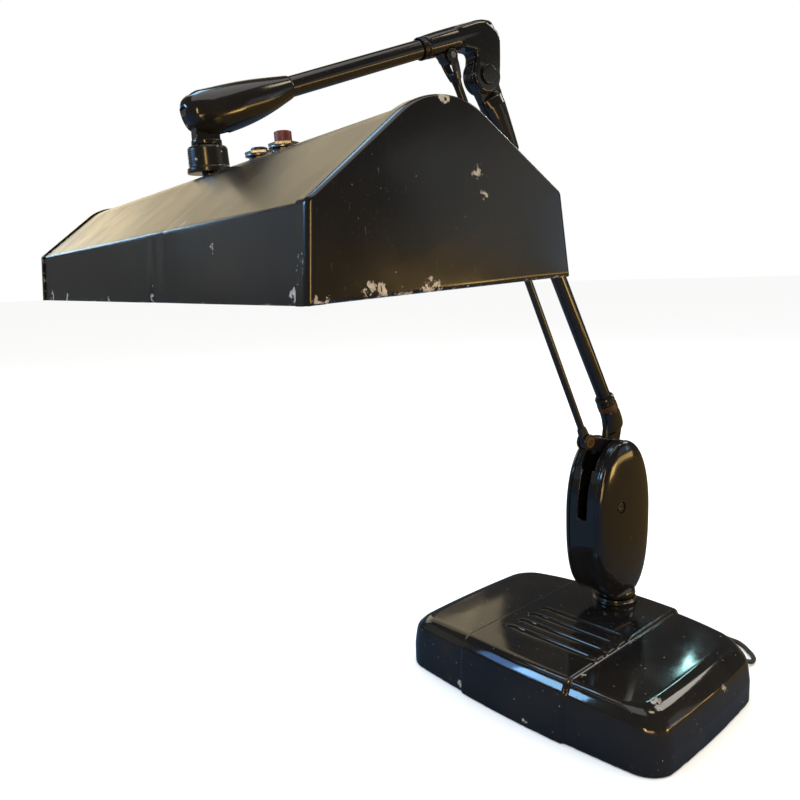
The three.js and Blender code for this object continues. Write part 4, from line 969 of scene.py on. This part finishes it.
h = LAMP_L / 2
glass = turned([(0, 2 - h), (12.0, 2 - h), (12.65, 9 - h), (12.65, h - 9), (12.0, h - 2), (0, h - 2)], 56, 1.5)
ends = []
for s in (1, -1):
    ends.append(turned(bar_profile(12.75, *sorted((s * (h - 14), s * h))), 56, 1.0))
    lamp_pin = turned(bar_profile(1.2, *sorted((s * (h - 1), s * (h + 3.4)))), 16, 0.4)
    ends += [moved(lamp_pin, Matrix.Translation((x, 0, 0))) for x in (-6.2, 6.2)]
for y, word in ((-LAMP_Y, "front"), (LAMP_Y, "back")):
    LAMP = REFL @ Matrix.Translation((0, y, LAMP_Z)) @ ALONG_X
    done(piece("tube_glass_" + word, glass, LAMP), "head", LAMP_GLASS, "lamp_glass", "lamp_" + word)
    done(piece("tube_ends_" + word, merged(*ends), LAMP), "head", CHROME, "chrome")

# -------- switches on the ridge
TOP = REFL_H


def hexagon(r, z0, z1, bevel, bore):
    """Six-sided nut with chamfered faces."""
    rows = ((r - bevel, z0), (r, z0 + bevel), (r, z1 - bevel), (r - bevel, z1))
    angles = [math.pi * k / 24 for k in range(48)]
    ring = lambda q, z: [(q * math.cos(a), q * math.sin(a), z) for a in angles]
    reach = [math.cos(a % (math.pi / 3) - math.pi / 6) for a in angles]
    flat = lambda q, z: [(x / c, y / c, z) for (x, y, z), c in zip(ring(q, z), reach)]
    return loft([flat(q * 0.866, z) for q, z in rows] + [ring(bore, z1), ring(bore, z0)], caps=False, loop=True)


for word, x, tall, material, slot in (("off", 75, 2.2, BUTTON_BLACK, "button_black"),
                                      ("start", 105, 6.0, BUTTON_RED, "button_red")):
    AT = REFL @ Matrix.Translation((x, 0, 0))
    washer = turned(ring_profile(6.2, 8.2, TOP + 0.1, TOP + 1.3), 72, 0.3, True)
    nut = piece("switch_nut_" + word, merged(washer, hexagon(8.3, TOP + 1.35, TOP + 3, 0.3, 6.25)), AT, 25)
    done(nut, "head", CHROME, "chrome", f"switch_{word}_nut")
    cap = turned([(r, TOP + z) for r, z in ((0, -18), (2.8, -18), (2.8, 2.5), (4.7, 2.5), (4.7, tall + 2.5),
                                            (3.4, tall + 3), (0, tall + 2.7))], 48, 0.5)
    done(piece("push_button_" + word, cap, AT), "button_" + word, material, slot, "button_" + word)

# -------- finishes of the CAD nodes that stay
KEPT = (
    (STEEL, "base_pan base_screw_1 base_screw_2 base_screw_3 base_screw_4 swivel_post swivel_nut spring_lower "
            "spring_upper rod_pin stem_nut"),
    (DARK_STEEL, "housing_bolt_nut pivot_pin spring_anchor crank_pin tilt_pin"),
    (IRON, "base_weight ballast"), (FELT, "base_felt"), (BAKELITE, "switch_off_body switch_start_body"))
for material, names in KEPT:
    for name in names.split():
        painted(frame["nodes"][name], material)

# -------- floor, air and light
def pale_floor():
    """Pale where it is seen; to glossy rays a painted reflection of a dim table instead, cool at the front left and
    golden at the back right.
    """
    n = Nodes("pale_floor")
    seen = n.mix(n.noise(6, 3), (0.93, 0.93, 0.925, 1), (0.96, 0.96, 0.955, 1))
    glossy = n.new("LightPath").outputs["Is Glossy Ray"]
    across = n.new("VectorMath", {0: n.place, 1: (0.7, 0.7, 0)}, operation="DOT_PRODUCT").outputs["Value"]
    # painted reflection: a colour only glossy rays see, blue at the front left and gold at the back right, that
    # lays highlights on the enamel
    painted_reflection = n.mix(n.step(across, 0.0, 0.5), (0.065, 0.115, 0.19, 1), (0.21, 0.13, 0.035, 1))
    return n.surface(Base_Color=n.mix(glossy, seen, painted_reflection), Roughness=1.0, Specular_IOR_Level=0.0)


floor_mesh = bpy.data.meshes.new("floor")
floor_mesh.from_pydata([(-30, -30, 0), (30, -30, 0), (30, 30, 0), (-30, 30, 0)], [], [(0, 1, 2, 3)])
floor_mesh.materials.append(pale_floor())
link("floor", floor_mesh)
AIR_SEEN, AIR_MIRRORED = (1.0, 1.0, 1.0, 1), (0.10, 0.095, 0.085, 1)


def studio_air():
    """White all round; dim in reflections, so that the black enamel mirrors the softboxes only."""
    world = bpy.data.worlds.new("studio")
    bpy.context.scene.world = world
    world.use_nodes = True
    tree = world.node_tree
    ray = tree.nodes.new("ShaderNodeLightPath")
    mix = tree.nodes.new("ShaderNodeMix")
    mix.data_type = "RGBA"
    mix.inputs[6].default_value = AIR_SEEN
    mix.inputs[7].default_value = AIR_MIRRORED
    tree.links.new(ray.outputs["Is Glossy Ray"], mix.inputs[0])
    tree.links.new(mix.outputs[2], tree.nodes["Background"].inputs[0])
    tree.nodes["Background"].inputs[1].default_value = 1.0


studio_air()


def softbox(name, toward, distance, width, height, radiance, color, aim=(-0.03, -0.1, 0.3)):
    """Area light at that direction and distance from the lamp's middle, facing it."""
    data = bpy.data.lights.new(name, "AREA")
    data.shape, data.size, data.size_y = "RECTANGLE", width, height
    data.energy, data.color = radiance * math.pi * width * height, color
    obj = link(name, data)
    way = Vector(toward).normalized()
    obj.location = Vector(aim) + way * distance
    obj.rotation_euler = (-way).to_track_quat("-Z", "Y").to_euler()


COOL, WARM, GOLD, SOFT = (0.42, 0.72, 1.0), (0.94, 0.78, 0.50), (1.0, 0.64, 0.22), (0.86, 0.92, 0.90)
LIGHTS = (
    ("cool_window", (-0.735, -0.14, 1.46), 1.64, 0.42, 0.42, 8, (0.36, 0.68, 1.0)),
    ("cool_low", (-0.79, -1.54, 0.62), 1.84, 0.50, 0.34, 20, (0.30, 0.62, 1.0)),
    ("cool_low_side", (-1.08, -1.45, 0.56), 1.89, 0.40, 0.34, 6, (0.20, 0.46, 1.0)),
    ("cool_strip_a", (-0.37, 0.80, 0.47), 2.2, 0.02, 0.36, 40, (0.50, 0.95, 0.95)),
    ("cool_strip_b", (-0.26, 0.84, 0.47), 2.2, 0.02, 0.36, 40, (0.50, 0.95, 0.95)),
    ("cool_side", (-0.95, -0.10, 0.30), 2.2, 0.14, 0.6, 10, COOL),
    ("lip_room", (-0.80, -0.50, 0.18), 2.3, 1.0, 0.5, 0.22, SOFT),
    ("warm_room", (-0.95, 0.26, 0.19), 2.2, 1.3, 0.5, 1.8, WARM),
    ("brown_room", (-0.785, 0.366, 0.50), 2.2, 1.96, 1.1, 1.0, WARM),
    ("room_back", (-0.70, 0.61, 0.36), 2.5, 0.5, 0.7, 0.30, WARM),
    ("back_high", (0.28, 0.75, 0.58), 2.4, 0.8, 0.7, 6, (1.0, 0.95, 0.86)),
    ("warm_high", (0.42, 0.38, 0.80), 2.2, 0.4, 0.4, 9, (1.0, 0.86, 0.60)),
    ("gold_front", (0.64, -0.71, 0.14), 2.2, 0.16, 0.8, 22, GOLD),
    ("gold_back", (0.80, 0.60, -0.08), 2.3, 1.2, 0.20, 6, GOLD),
    ("gold_low", (1.32, 0.50, -0.20), 1.43, 0.24, 0.16, 16, GOLD),
    ("gold_floor", (0.88, -0.60, -0.15), 1.08, 0.5, 0.2, 7, GOLD),
    ("cool_back", (0.80, 0.58, 0.18), 2.6, 1.4, 0.8, 0.50, SOFT),
    ("cool_back_right", (0.72, 0.68, 0.10), 2.6, 0.16, 0.4, 3.0, (0.30, 0.60, 1.0)),
    ("overhead", (0.1, -0.1, 1.0), 2.4, 2.0, 2.0, 1.5, (1.0, 0.98, 0.95)),
)
for light in LIGHTS:
    softbox(*light)
bpy.context.scene.view_settings.view_transform = "Standard"
